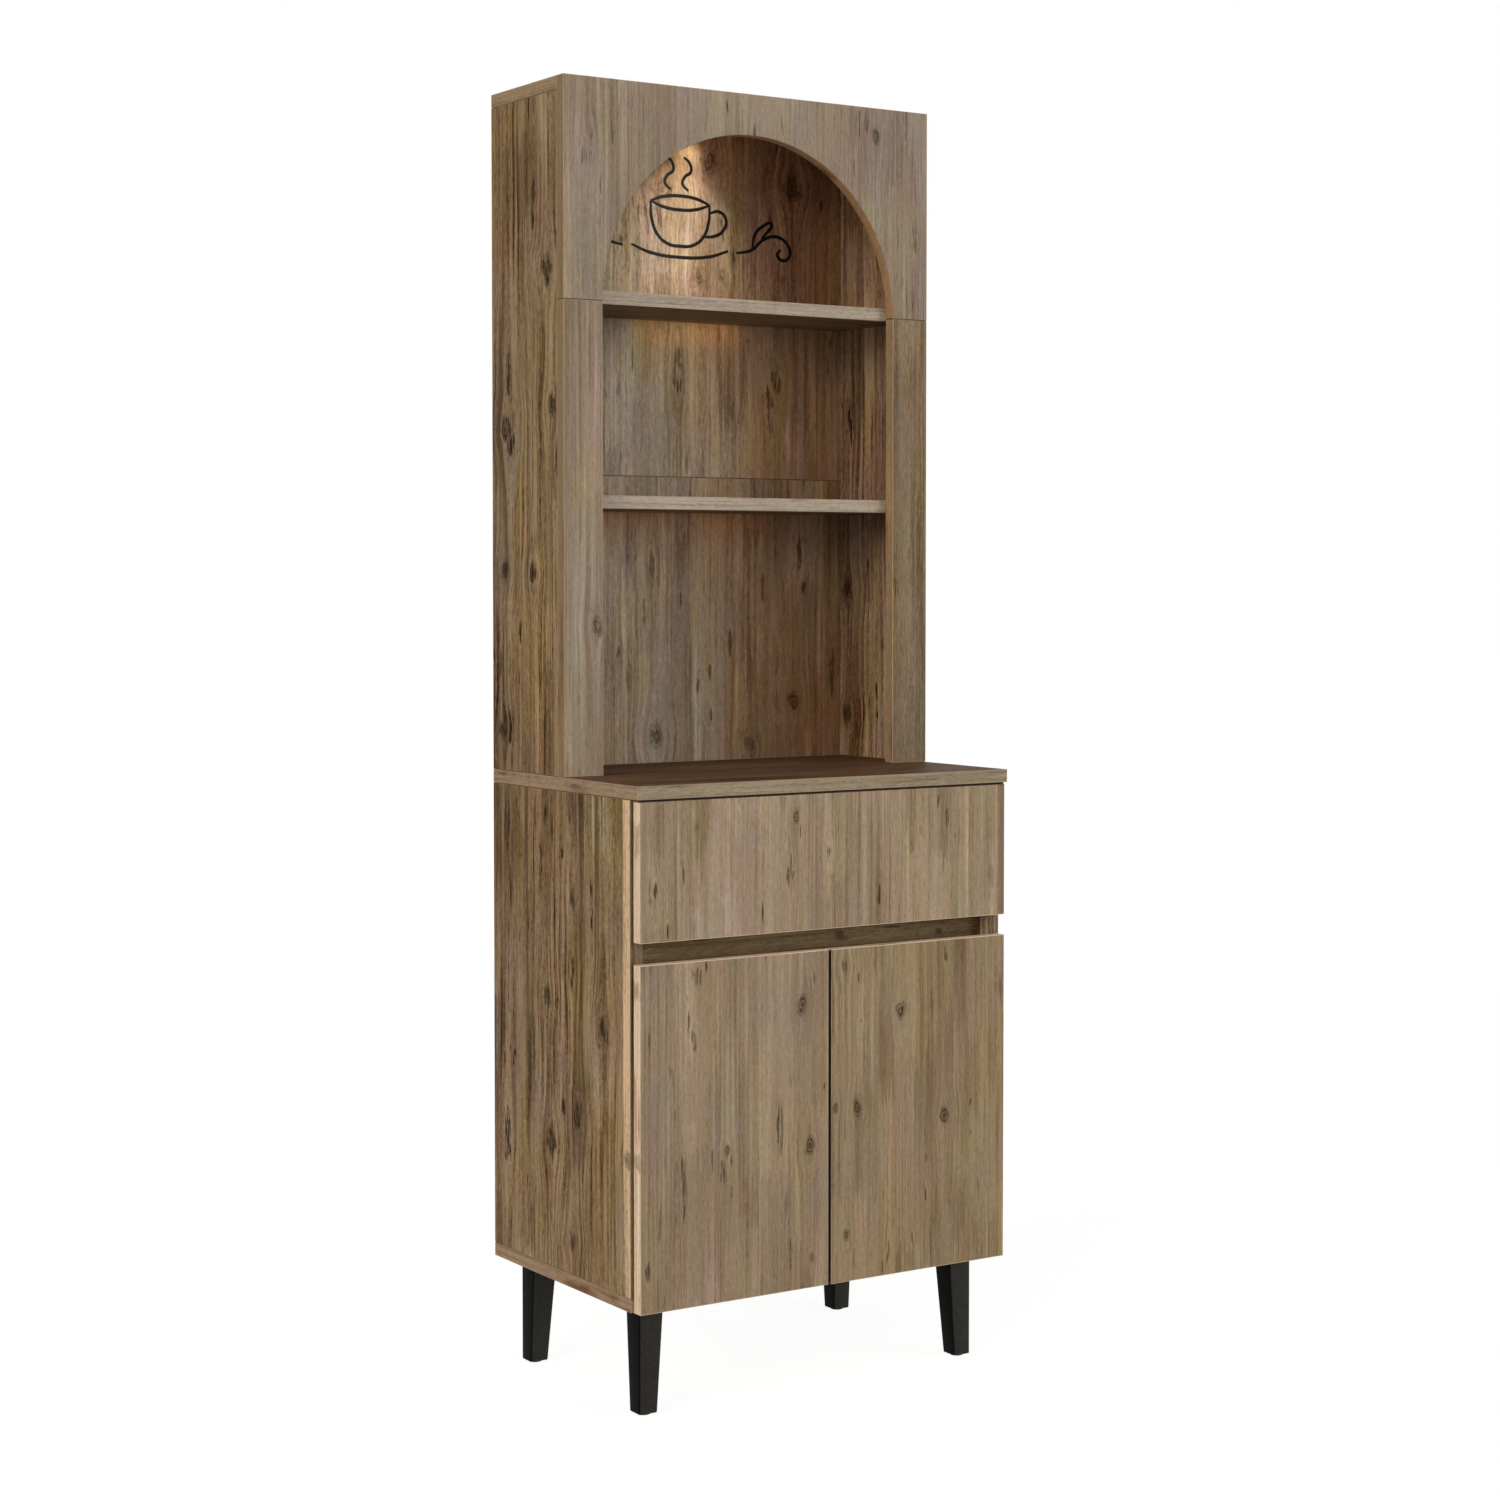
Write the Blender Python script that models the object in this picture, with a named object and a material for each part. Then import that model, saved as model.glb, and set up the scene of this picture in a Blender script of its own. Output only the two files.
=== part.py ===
# Coffee bar cabinet: a base on four tapered legs with a drawer and two doors, under an open hutch with an arch.
# Metres, +Z up, the front faces -Y, and the origin is on the floor under the middle of the cabinet.
import math

import bmesh
import bpy
from mathutils import Matrix, Vector

for old in list(bpy.data.objects):
    bpy.data.objects.remove(old, do_unlink=True)

# Boards and fits
BOARD = 0.018             # carcass boards
FRONT_BOARD = 0.016       # doors and drawer front
BACK_BOARD = 0.004        # hardboard backs and drawer bottom
DRAWER_BOARD = 0.015      # drawer box
EDGE_ROUND = 0.0007       # eased edge of every board
GAP = 0.0003              # glue line, or the play between two pieces that touch
GROOVE = 0.006            # depth of the grooves that hold the hardboard

# Base
WIDTH = 0.600             # over both sides
WORKTOP_DEPTH = 0.394     # the deepest piece
SIDE_DEPTH = 0.375        # base sides, without the fronts
SIDE_HEIGHT = 0.648       # base sides, between bottom and worktop
LEG_HEIGHT = 0.147        # floor to the underside of the bottom
BACK_INSET = 0.008        # hardboard back, in from the rear edge
RAIL_HEIGHT = 0.070       # rail behind the finger gap
RAIL_SETBACK = 0.023      # rail, behind the front edge of the sides
RAIL_DROP = 0.164         # rail, below the worktop

# Fronts
FRONT_GAP = 0.0015        # buffers between the sides and the fronts
FRONT_INSET = 0.0035      # fronts, in from the outer faces of the sides
DOOR_GAP = 0.003          # between the doors
DOOR_HEIGHT = 0.453
DRAWER_FRONT_HEIGHT = 0.183
DRAWER_FRONT_DROP = 0.002 # below the worktop

# Drawer box and its three-part runners
DRAWER_DEPTH = 0.320
DRAWER_HEIGHT = 0.120
DRAWER_DROP = 0.032       # box top, below the worktop
DRAWER_BOTTOM_RISE = 0.010
RUNNER_LENGTH = 0.300
RUNNER_HEIGHT = 0.045
RUNNER_THICK = 0.0127     # side of the cabinet to side of the drawer
RUNNER_SHEET = 0.0012
RUNNER_LIP = 0.008        # width of the turned lips
RUNNER_SETBACK = 0.002    # behind the front edge of the sides
RUNNER_DROP = 0.092       # centre line, below the worktop

# Cup hinges
HINGE_END = 0.090         # from each end of a door to the hinge
CUP_DIAMETER = 0.035
CUP_DEPTH = 0.011
CUP_WALL = 0.0012
CUP_EDGE = 0.022          # cup centre, in from the door's edge
CUP_FLANGE_LENGTH = 0.058
CUP_FLANGE_WIDTH = 0.020
CUP_FLANGE_THICK = 0.0009
PLATE_LENGTH = 0.042
PLATE_HEIGHT = 0.048
PLATE_WIDTH = 0.014       # stem of the plate, and the width of the arm
PLATE_THICK = 0.003
PLATE_SETBACK = 0.018     # plate, behind the front edge of the side
ARM_LENGTH = 0.058
ARM_RISE = 0.011          # arm, off the plate
ARM_NOSE_RISE = 0.015     # cranked nose, off the plate
ARM_NOSE_LENGTH = 0.016
ARM_TIP_SETBACK = 0.001

# Cupboard shelf
INNER_SHELF_RISE = 0.205  # top of the shelf, above the bottom
INNER_SHELF_DEPTH = 0.310
INNER_SHELF_PLAY = 0.001  # at each end
PIN_DIAMETER = 0.005
PIN_BORE = 0.008          # depth in the side
PIN_REACH = 0.009         # out of the side
PIN_INSET = 0.040         # in from the shelf's front and back edges

# Legs
LEG_TOP = 0.037           # square at the top
LEG_FOOT = 0.0273         # square at the foot
LEG_SIDE_INSET = 0.0285   # outer face, in from the side
LEG_END_INSET = 0.0257    # outer face, in from the front and rear edges of the bottom
LEG_ROUND = 0.003         # rounded upright edges
LEG_CHAMFER = 0.001
GLIDE_DIAMETER = 0.018
GLIDE_THICK = 0.002
BOLT_DIAMETER = 0.008
BOLT_IN_LEG = 0.022
BOLT_IN_BOARD = 0.012

# Hutch
HUTCH_SIDE_HEIGHT = 0.916
HUTCH_SIDE_DEPTH = 0.185  # without the front frame
STILE_WIDTH = 0.060
HEADER_HEIGHT = 0.2965    # top of the hutch to the springing line of the arch
SHELF_UPPER_DROP = 0.281  # top of the upper shelf, below the top of the hutch
SHELF_LOWER_RISE = 0.3785 # top of the lower shelf, above the worktop
BACK_SEAM_RISE = 0.4125   # joint of the two back panels, above the worktop
BACK_SEAM_GAP = 0.0008

# Lamp under the top of the hutch
LAMP_DIAMETER = 0.064
LAMP_THICK = 0.012
LAMP_WALL = 0.004
LENS_THICK = 0.003
LENS_DOME = 0.0015
LAMP_SETBACK = 0.070      # lamp centre, behind the front frame

# Facets
ARCH_STEPS = 48
ROUND_STEPS = 24
CORNER_STEPS = 3
LENS_STEPS = 4
SHARP_ANGLE = math.radians(40)
CUT_OVERRUN = 0.010       # how far an open-ended cutter runs past its board

# Levels and planes worked out from the sizes above
half_width = WIDTH / 2
inner_half = half_width - BOARD
bottom_top = LEG_HEIGHT + BOARD
side_foot = bottom_top + GAP
side_top = bottom_top + SIDE_HEIGHT
worktop_under = side_top + GAP
worktop_top = worktop_under + BOARD
hutch_foot = worktop_top + GAP
hutch_side_top = hutch_foot + HUTCH_SIDE_HEIGHT
hutch_top_under = hutch_side_top + GAP
hutch_top = hutch_top_under + BOARD
front_back = SIDE_DEPTH + FRONT_GAP              # rear face of doors and drawer front
front_face = front_back + FRONT_BOARD
panel_front = BACK_INSET + BACK_BOARD            # front face of the hardboard backs
front_half = half_width - FRONT_INSET
drawer_half = inner_half - RUNNER_THICK - 2 * GAP


def from_back(depth):
    # Y of a plane that lies this far in front of the rear edges.
    return WORKTOP_DEPTH / 2 - depth


def material(name, colour, roughness, metallic=0.0):
    surface = bpy.data.materials.new(name)
    surface.use_nodes = True
    shader = surface.node_tree.nodes["Principled BSDF"]
    shader.inputs["Base Color"].default_value = (*colour, 1.0)
    shader.inputs["Roughness"].default_value = roughness
    shader.inputs["Metallic"].default_value = metallic
    return surface


pine = material("pine_decor_board", (0.29, 0.21, 0.145), 0.5)
hardboard = material("pine_decor_hardboard", (0.23, 0.165, 0.11), 0.55)
drawer_white = material("drawer_box_board", (0.62, 0.58, 0.52), 0.5)
black = material("black_leg_lacquer", (0.018, 0.018, 0.02), 0.35)
rubber = material("glide_plastic", (0.03, 0.03, 0.03), 0.6)
zinc = material("zinc_steel", (0.62, 0.63, 0.65), 0.3, 1.0)
lamp_white = material("lamp_housing", (0.75, 0.74, 0.72), 0.4)
frosted = material("lamp_lens", (0.95, 0.86, 0.68), 0.5)


def place(name, shape, where, surface, parent=None):
    # One node: a closed mesh about its own origin, set at a world point and carried by its parent.
    bmesh.ops.recalc_face_normals(shape, faces=shape.faces)
    mesh = bpy.data.meshes.new(name)
    shape.to_mesh(mesh)
    shape.free()
    node = bpy.data.objects.new(name, mesh)
    bpy.context.scene.collection.objects.link(node)
    node.location = Vector(where)
    if parent:
        node.parent = parent
        node.location -= parent.location
    if surface:
        mesh.materials.append(surface)
    return node


def joint(name, where):
    # An empty on a joint's axis, which carries the pieces that move with it.
    empty = bpy.data.objects.new(name, None)
    bpy.context.scene.collection.objects.link(empty)
    empty.empty_display_size = BOARD
    empty.location = Vector(where)
    return empty


def chamfer(shape, width):
    sharp = [edge for edge in shape.edges if edge.calc_face_angle(0.0) > SHARP_ANGLE]
    bmesh.ops.bevel(shape, geom=sharp, offset=width, segments=1, profile=0.5, affect='EDGES')


def board(name, x, depth, z, surface, parent=None, edge=EDGE_ROUND):
    # A board between two X planes, two depths from the rear and two levels.
    low = Vector((x[0], from_back(depth[1]), z[0]))
    high = Vector((x[1], from_back(depth[0]), z[1]))
    shape = bmesh.new()
    bmesh.ops.create_cube(shape, size=1.0)
    bmesh.ops.scale(shape, vec=high - low, verts=shape.verts)
    if edge:
        chamfer(shape, edge)
    return place(name, shape, (low + high) / 2, surface, parent)


def prism(outline, length):
    # An outline in the XZ plane, drawn out along +Y.
    shape = bmesh.new()
    face = shape.faces.new([shape.verts.new((x, 0.0, z)) for x, z in outline])
    drawn = bmesh.ops.extrude_face_region(shape, geom=[face])["geom"]
    moved = [item for item in drawn if isinstance(item, bmesh.types.BMVert)]
    bmesh.ops.translate(shape, vec=(0.0, length, 0.0), verts=moved)
    return shape


def turned(profile, turn=None):
    # A closed body of revolution about Z from (radius, height) points, turned to another axis if asked.
    shape = bmesh.new()
    rings = []
    for radius, height in profile:
        if radius == 0.0:
            rings.append([shape.verts.new((0.0, 0.0, height))])
            continue
        angles = [2 * math.pi * step / ROUND_STEPS for step in range(ROUND_STEPS)]
        rings.append([shape.verts.new((radius * math.cos(a), radius * math.sin(a), height)) for a in angles])
    for lower, upper in zip(rings, rings[1:]):
        for step in range(ROUND_STEPS):
            after = (step + 1) % ROUND_STEPS
            if len(lower) == 1:
                shape.faces.new((lower[0], upper[step], upper[after]))
            elif len(upper) == 1:
                shape.faces.new((lower[step], lower[after], upper[0]))
            else:
                shape.faces.new((lower[step], lower[after], upper[after], upper[step]))
    if turn:
        bmesh.ops.rotate(shape, matrix=turn, verts=shape.verts)
    return shape


def rod(radius, start, end, turn=None):
    return turned([(0.0, start), (radius, start), (radius, end), (0.0, end)], turn)


def cut(node, cutter, operation='DIFFERENCE'):
    cutter.hide_render = True
    cutter.display_type = 'WIRE'
    change = node.modifiers.new(cutter.name, 'BOOLEAN')
    change.operation = operation
    change.solver = 'EXACT'
    change.object = cutter


TO_X = Matrix.Rotation(math.pi / 2, 3, 'Y')       # a turned body's +Z to +X
TO_REAR = Matrix.Rotation(-math.pi / 2, 3, 'X')   # a turned body's +Z to +Y
SIDES = (("left", -1), ("right", 1))
ENDS = (("front", -1), ("rear", 1))


def span(sign, near, far):
    # The same stretch on the left or the right, as ordered X limits.
    return tuple(sorted((sign * near, sign * far)))


# Base carcass
base_bottom = board("base_bottom", (-half_width, half_width), (0.0, SIDE_DEPTH), (LEG_HEIGHT, bottom_top), pine)
board("worktop", (-half_width, half_width), (0.0, WORKTOP_DEPTH), (worktop_under, worktop_top), pine)
back_groove = (BACK_INSET - GAP, panel_front + GAP)
base_sides = {}
for side, sign in SIDES:
    base_sides[side] = board(f"base_side_{side}", span(sign, inner_half, half_width), (0.0, SIDE_DEPTH),
                             (side_foot, side_top), pine)
    slot = board(f"cut_base_groove_{side}", span(sign, inner_half - CUT_OVERRUN, inner_half + GROOVE), back_groove,
                 (side_foot - CUT_OVERRUN, side_top + CUT_OVERRUN), None, edge=0)
    cut(base_sides[side], slot)
groove_half = inner_half + GROOVE
cut(base_bottom, board("cut_bottom_groove", (-groove_half, groove_half), back_groove,
                       (bottom_top - GROOVE, bottom_top + CUT_OVERRUN), None, edge=0))
board("base_back", (GAP - groove_half, groove_half - GAP), (BACK_INSET, panel_front),
      (bottom_top - GROOVE + GAP, worktop_under - GAP), hardboard, edge=0)

rail_top = worktop_under - RAIL_DROP
rail_front = SIDE_DEPTH - RAIL_SETBACK
board("handle_rail", (GAP - inner_half, inner_half - GAP), (rail_front - BOARD, rail_front),
      (rail_top - RAIL_HEIGHT, rail_top), pine)

# Cupboard shelf on four pins
shelf_half = inner_half - INNER_SHELF_PLAY
shelf_depth = (panel_front + INNER_SHELF_PLAY, panel_front + INNER_SHELF_PLAY + INNER_SHELF_DEPTH)
inner_shelf_top = bottom_top + INNER_SHELF_RISE
board("inner_shelf", (-shelf_half, shelf_half), shelf_depth, (inner_shelf_top - BOARD, inner_shelf_top), pine)
pin_radius = PIN_DIAMETER / 2
pin_level = inner_shelf_top - BOARD - GAP - pin_radius
for side, sign in SIDES:
    facing = TO_X if side == "left" else TO_X.transposed()
    for end, depth in (("front", shelf_depth[1] - PIN_INSET), ("rear", shelf_depth[0] + PIN_INSET)):
        spot = (sign * inner_half, from_back(depth), pin_level)
        place(f"shelf_pin_{side}_{end}", rod(pin_radius, GAP - PIN_BORE, PIN_REACH, facing), spot, zinc)
        bore = place(f"cut_pin_{side}_{end}", rod(pin_radius + GAP, -PIN_BORE, CUT_OVERRUN, facing), spot, None)
        cut(base_sides[side], bore)

# Legs with their bolts and glides


def rounded_square(size, inset):
    # Corner points from the outer corner inwards, with the four corners as arcs.
    low, high = inset, size - inset
    radius = LEG_ROUND
    corners = ((high - radius, low + radius, -90), (high - radius, high - radius, 0),
               (low + radius, high - radius, 90), (low + radius, low + radius, 180))
    points = []
    for u, v, start in corners:
        for step in range(CORNER_STEPS + 1):
            angle = math.radians(start + 90 * step / CORNER_STEPS)
            points.append((u + radius * math.cos(angle), v + radius * math.sin(angle)))
    return points


def leg(name, sign, end_sign, corner):
    # Both outer faces are upright and both inner faces taper to the foot.
    foot = GLIDE_THICK + GAP
    levels = ((foot, LEG_FOOT, LEG_CHAMFER), (foot + LEG_CHAMFER, LEG_FOOT, 0.0), (LEG_HEIGHT - GAP, LEG_TOP, 0.0))
    shape = bmesh.new()
    rings = []
    for level, size, inset in levels:
        outline = rounded_square(size, inset)
        rings.append([shape.verts.new((-sign * u, -end_sign * v, level)) for u, v in outline])
    for lower, upper in zip(rings, rings[1:]):
        count = len(lower)
        for step in range(count):
            after = (step + 1) % count
            shape.faces.new((lower[step], lower[after], upper[after], upper[step]))
    shape.faces.new(rings[0])
    shape.faces.new(rings[-1])
    return place(name, shape, corner, black)


bolt_radius = BOLT_DIAMETER / 2
for side, sign in SIDES:
    for end, end_sign in ENDS:
        depth = SIDE_DEPTH - LEG_END_INSET if end == "front" else LEG_END_INSET
        corner = Vector((sign * (half_width - LEG_SIDE_INSET), from_back(depth), 0.0))
        inward = Vector((-sign, -end_sign, 0.0))
        post = leg(f"leg_{end}_{side}", sign, end_sign, corner)
        head = corner + inward * LEG_TOP / 2
        head.z = LEG_HEIGHT
        place(f"leg_bolt_{end}_{side}", rod(bolt_radius, GAP - BOLT_IN_LEG, BOLT_IN_BOARD - GAP), head, zinc)
        bore = place(f"cut_bolt_{end}_{side}", rod(bolt_radius + GAP, -BOLT_IN_LEG, BOLT_IN_BOARD), head, None)
        cut(post, bore)
        cut(base_bottom, bore)
        foot = corner + inward * LEG_FOOT / 2
        place(f"leg_glide_{end}_{side}", rod(GLIDE_DIAMETER / 2, 0.0, GLIDE_THICK), foot, rubber)

# Drawer on three-part runners
drawer_front_top = worktop_under - DRAWER_FRONT_DROP
drawer_front_foot = drawer_front_top - DRAWER_FRONT_HEIGHT
drawer = joint("drawer_slide", (0.0, from_back(front_back), (drawer_front_top + drawer_front_foot) / 2))
board("drawer_front", (-front_half, front_half), (front_back, front_face),
      (drawer_front_foot, drawer_front_top), pine, drawer)
box_top = worktop_under - DRAWER_DROP
box_foot = box_top - DRAWER_HEIGHT
box_front = front_back - GAP
box_back = box_front - DRAWER_DEPTH
box_inner = drawer_half - DRAWER_BOARD
panel_foot = box_foot + DRAWER_BOTTOM_RISE
panel_top = panel_foot + BACK_BOARD
panel_groove = (panel_foot - GAP, panel_top + GAP)
for side, sign in SIDES:
    wall = board(f"drawer_side_{side}", span(sign, box_inner, drawer_half), (box_back, box_front),
                 (box_foot, box_top), drawer_white, drawer)
    slot = board(f"cut_drawer_groove_{side}", span(sign, box_inner - CUT_OVERRUN, box_inner + GROOVE),
                 (box_back - CUT_OVERRUN, box_front + CUT_OVERRUN), panel_groove, None, drawer, edge=0)
    cut(wall, slot)
inner_front = board("drawer_inner_front", (GAP - box_inner, box_inner - GAP), (box_front - DRAWER_BOARD, box_front),
                    (box_foot, box_top), drawer_white, drawer)
front_groove = box_front - DRAWER_BOARD + GROOVE
cut(inner_front, board("cut_drawer_groove_front", (-drawer_half, drawer_half),
                       (front_groove - GROOVE - CUT_OVERRUN, front_groove), panel_groove, None, drawer, edge=0))
board("drawer_back", (GAP - box_inner, box_inner - GAP), (box_back, box_back + DRAWER_BOARD),
      (panel_top + GAP, box_top), drawer_white, drawer)
panel_half = box_inner + GROOVE - GAP
board("drawer_bottom", (-panel_half, panel_half), (box_back, front_groove - GAP),
      (panel_foot, panel_top), hardboard, drawer, edge=0)


def channel(sign, web, lips, half_height):
    # A C section: an upright web and two lips turned towards the web's open side.
    web_near, web_far = web
    lip_near, lip_far = lips
    inside = half_height - RUNNER_SHEET
    if lip_far > web_far:
        corners = ((web_near, -half_height), (lip_far, -half_height), (lip_far, -inside), (web_far, -inside),
                   (web_far, inside), (lip_far, inside), (lip_far, half_height), (web_near, half_height))
    else:
        corners = ((web_far, -half_height), (lip_near, -half_height), (lip_near, -inside), (web_near, -inside),
                   (web_near, inside), (lip_near, inside), (lip_near, half_height), (web_far, half_height))
    return [(-sign * x, z) for x, z in corners]


runner_front = SIDE_DEPTH - RUNNER_SETBACK
runner_level = worktop_under - RUNNER_DROP
middle_web = RUNNER_THICK - RUNNER_LIP - 2 * RUNNER_SHEET
members = (
    ("outer", (0.0, RUNNER_SHEET), (0.0, RUNNER_LIP), RUNNER_HEIGHT / 2),
    ("middle", (middle_web, middle_web + RUNNER_SHEET), (middle_web, middle_web + RUNNER_LIP),
     RUNNER_HEIGHT / 2 - RUNNER_SHEET - GAP),
    ("inner", (RUNNER_THICK - RUNNER_SHEET, RUNNER_THICK), (RUNNER_THICK - RUNNER_LIP, RUNNER_THICK),
     RUNNER_HEIGHT / 2 - 2 * RUNNER_SHEET - 2 * GAP),
)
for side, sign in SIDES:
    foot = Vector((sign * (inner_half - GAP), from_back(runner_front), runner_level))
    for member, web, lips, half_height in members:
        section = prism(channel(sign, web, lips, half_height), RUNNER_LENGTH)
        place(f"runner_{member}_{side}", section, foot, zinc, drawer if member == "inner" else None)

# Doors on cup hinges
door_foot = LEG_HEIGHT
door_top = door_foot + DOOR_HEIGHT
axis_depth = front_back + FRONT_BOARD / 2
cup_radius = CUP_DIAMETER / 2
for side, sign in SIDES:
    hinge_line = joint(f"door_{side}_hinge", (sign * front_half, from_back(axis_depth), door_foot + DOOR_HEIGHT / 2))
    door = board(f"door_{side}", span(sign, DOOR_GAP / 2, front_half), (front_back, front_face),
                 (door_foot, door_top), pine, hinge_line)
    for end, level in (("upper", door_top - HINGE_END), ("lower", door_foot + HINGE_END)):
        # The cup: an oblong flange on the door's rear face over a thin-walled pot in its bore.
        spot = Vector((sign * (front_half - CUP_EDGE), from_back(front_back), level))
        seat = spot + Vector((0.0, GAP, 0.0))
        flange = bmesh.new()
        bmesh.ops.create_cube(flange, size=1.0)
        bmesh.ops.scale(flange, vec=(CUP_FLANGE_WIDTH, CUP_FLANGE_THICK, CUP_FLANGE_LENGTH), verts=flange.verts)
        bmesh.ops.translate(flange, vec=(0.0, CUP_FLANGE_THICK / 2, 0.0), verts=flange.verts)
        cup = place(f"hinge_cup_{side}_{end}", flange, seat, zinc, hinge_line)
        pot = rod(cup_radius, GAP - CUP_DEPTH, CUP_FLANGE_THICK, TO_REAR)
        cut(cup, place(f"cut_cup_pot_{side}_{end}", pot, seat, None, hinge_line), 'UNION')
        hollow = rod(cup_radius - CUP_WALL, GAP + CUP_WALL - CUP_DEPTH, CUT_OVERRUN, TO_REAR)
        cut(cup, place(f"cut_cup_hollow_{side}_{end}", hollow, seat, None, hinge_line))
        bore = rod(cup_radius + GAP, -CUP_DEPTH, CUT_OVERRUN, TO_REAR)
        cut(door, place(f"cut_cup_bore_{side}_{end}", bore, spot, None, hinge_line))

        # The arm: a cranked bar along the side, on a winged mounting plate.
        arm_rear = ARM_TIP_SETBACK + ARM_LENGTH
        plan = ((PLATE_THICK, arm_rear), (ARM_RISE, arm_rear), (ARM_RISE, ARM_TIP_SETBACK + ARM_NOSE_LENGTH),
                (ARM_NOSE_RISE, ARM_NOSE_LENGTH / 2), (ARM_NOSE_RISE, ARM_TIP_SETBACK),
                (ARM_RISE, ARM_TIP_SETBACK), (PLATE_THICK, PLATE_SETBACK - PLATE_THICK),
                (0.0, PLATE_SETBACK), (0.0, PLATE_SETBACK + PLATE_LENGTH), (PLATE_THICK, PLATE_SETBACK + PLATE_LENGTH))
        bar = prism([(-sign * rise, back) for rise, back in plan], PLATE_WIDTH)
        bmesh.ops.rotate(bar, matrix=Matrix.Rotation(-math.pi / 2, 3, 'X'), verts=bar.verts)
        bmesh.ops.translate(bar, vec=(0.0, 0.0, PLATE_WIDTH / 2), verts=bar.verts)
        root = Vector((sign * (inner_half - GAP), from_back(SIDE_DEPTH), level))
        arm = place(f"hinge_arm_{side}_{end}", bar, root, zinc)
        wings = board(f"cut_plate_wings_{side}_{end}", span(sign, inner_half - GAP - PLATE_THICK, inner_half - GAP),
                      (SIDE_DEPTH - PLATE_SETBACK - PLATE_LENGTH / 2 - PLATE_WIDTH / 2,
                       SIDE_DEPTH - PLATE_SETBACK - PLATE_LENGTH / 2 + PLATE_WIDTH / 2),
                      (level - PLATE_HEIGHT / 2, level + PLATE_HEIGHT / 2), None, edge=0)
        cut(arm, wings, 'UNION')

# Hutch carcass
for side, sign in SIDES:
    upright = board(f"hutch_side_{side}", span(sign, inner_half, half_width), (0.0, HUTCH_SIDE_DEPTH),
                    (hutch_foot, hutch_side_top), pine)
    slot = board(f"cut_hutch_groove_{side}", span(sign, inner_half - CUT_OVERRUN, inner_half + GROOVE), back_groove,
                 (hutch_foot - CUT_OVERRUN, hutch_side_top + CUT_OVERRUN), None, edge=0)
    cut(upright, slot)
lid = board("hutch_top", (-half_width, half_width), (0.0, HUTCH_SIDE_DEPTH), (hutch_top_under, hutch_top), pine)
cut(lid, board("cut_lid_groove", (-groove_half, groove_half), back_groove,
               (hutch_top_under - CUT_OVERRUN, hutch_top_under + GROOVE), None, edge=0))
back_seam = worktop_top + BACK_SEAM_RISE
panel_x = (GAP - groove_half, groove_half - GAP)
board("back_lower", panel_x, (BACK_INSET, panel_front), (hutch_foot, back_seam - BACK_SEAM_GAP / 2), hardboard, edge=0)
board("back_upper", panel_x, (BACK_INSET, panel_front),
      (back_seam + BACK_SEAM_GAP / 2, hutch_top_under + GROOVE - GAP), hardboard, edge=0)
shelf_run = (panel_front + GAP, HUTCH_SIDE_DEPTH)
for name, top in (("shelf_upper", hutch_top - SHELF_UPPER_DROP), ("shelf_lower", worktop_top + SHELF_LOWER_RISE)):
    board(name, (GAP - inner_half, inner_half - GAP), shelf_run, (top - BOARD, top), pine)

# Front frame: two stiles and a header with a half-round arch between them
frame_depth = (HUTCH_SIDE_DEPTH + GAP, HUTCH_SIDE_DEPTH + GAP + BOARD)
springing = hutch_top - HEADER_HEIGHT
for side, sign in SIDES:
    board(f"stile_{side}", span(sign, half_width - STILE_WIDTH, half_width), frame_depth,
          (hutch_foot, springing - GAP), pine)
arch_radius = half_width - STILE_WIDTH
arc = [math.pi * step / ARCH_STEPS for step in range(ARCH_STEPS + 1)]
outline = [(-half_width, 0.0), (-half_width, HEADER_HEIGHT), (half_width, HEADER_HEIGHT), (half_width, 0.0)]
outline += [(arch_radius * math.cos(angle), arch_radius * math.sin(angle)) for angle in arc]
header = prism(outline, BOARD)
chamfer(header, EDGE_ROUND)
place("arch_header", header, (0.0, from_back(frame_depth[1]), springing), pine)

# Lamp: a shallow round housing with a domed lens let into its underside
lamp_spot = (0.0, from_back(HUTCH_SIDE_DEPTH - LAMP_SETBACK), hutch_top_under - GAP)
lamp_radius = LAMP_DIAMETER / 2
lens_seat = lamp_radius - LAMP_WALL
housing = turned([(0.0, 0.0), (lamp_radius, 0.0), (lamp_radius, EDGE_ROUND - LAMP_THICK),
                  (lamp_radius - EDGE_ROUND, -LAMP_THICK), (lens_seat, -LAMP_THICK),
                  (lens_seat, LENS_THICK - LAMP_THICK), (0.0, LENS_THICK - LAMP_THICK)])
place("lamp_housing", housing, lamp_spot, lamp_white)
lens_radius = lens_seat - GAP
lens_back = LENS_THICK - LAMP_THICK - GAP
across = [1.0 - step / LENS_STEPS for step in range(LENS_STEPS + 1)]
dome = [(lens_radius * share, -LAMP_THICK - LENS_DOME * (1.0 - share ** 2)) for share in across]
place("lamp_lens", turned([(0.0, lens_back), (lens_radius, lens_back)] + dome), lamp_spot, frosted)
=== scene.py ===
import math
import random

import bpy
from mathutils import Matrix, Vector


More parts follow.
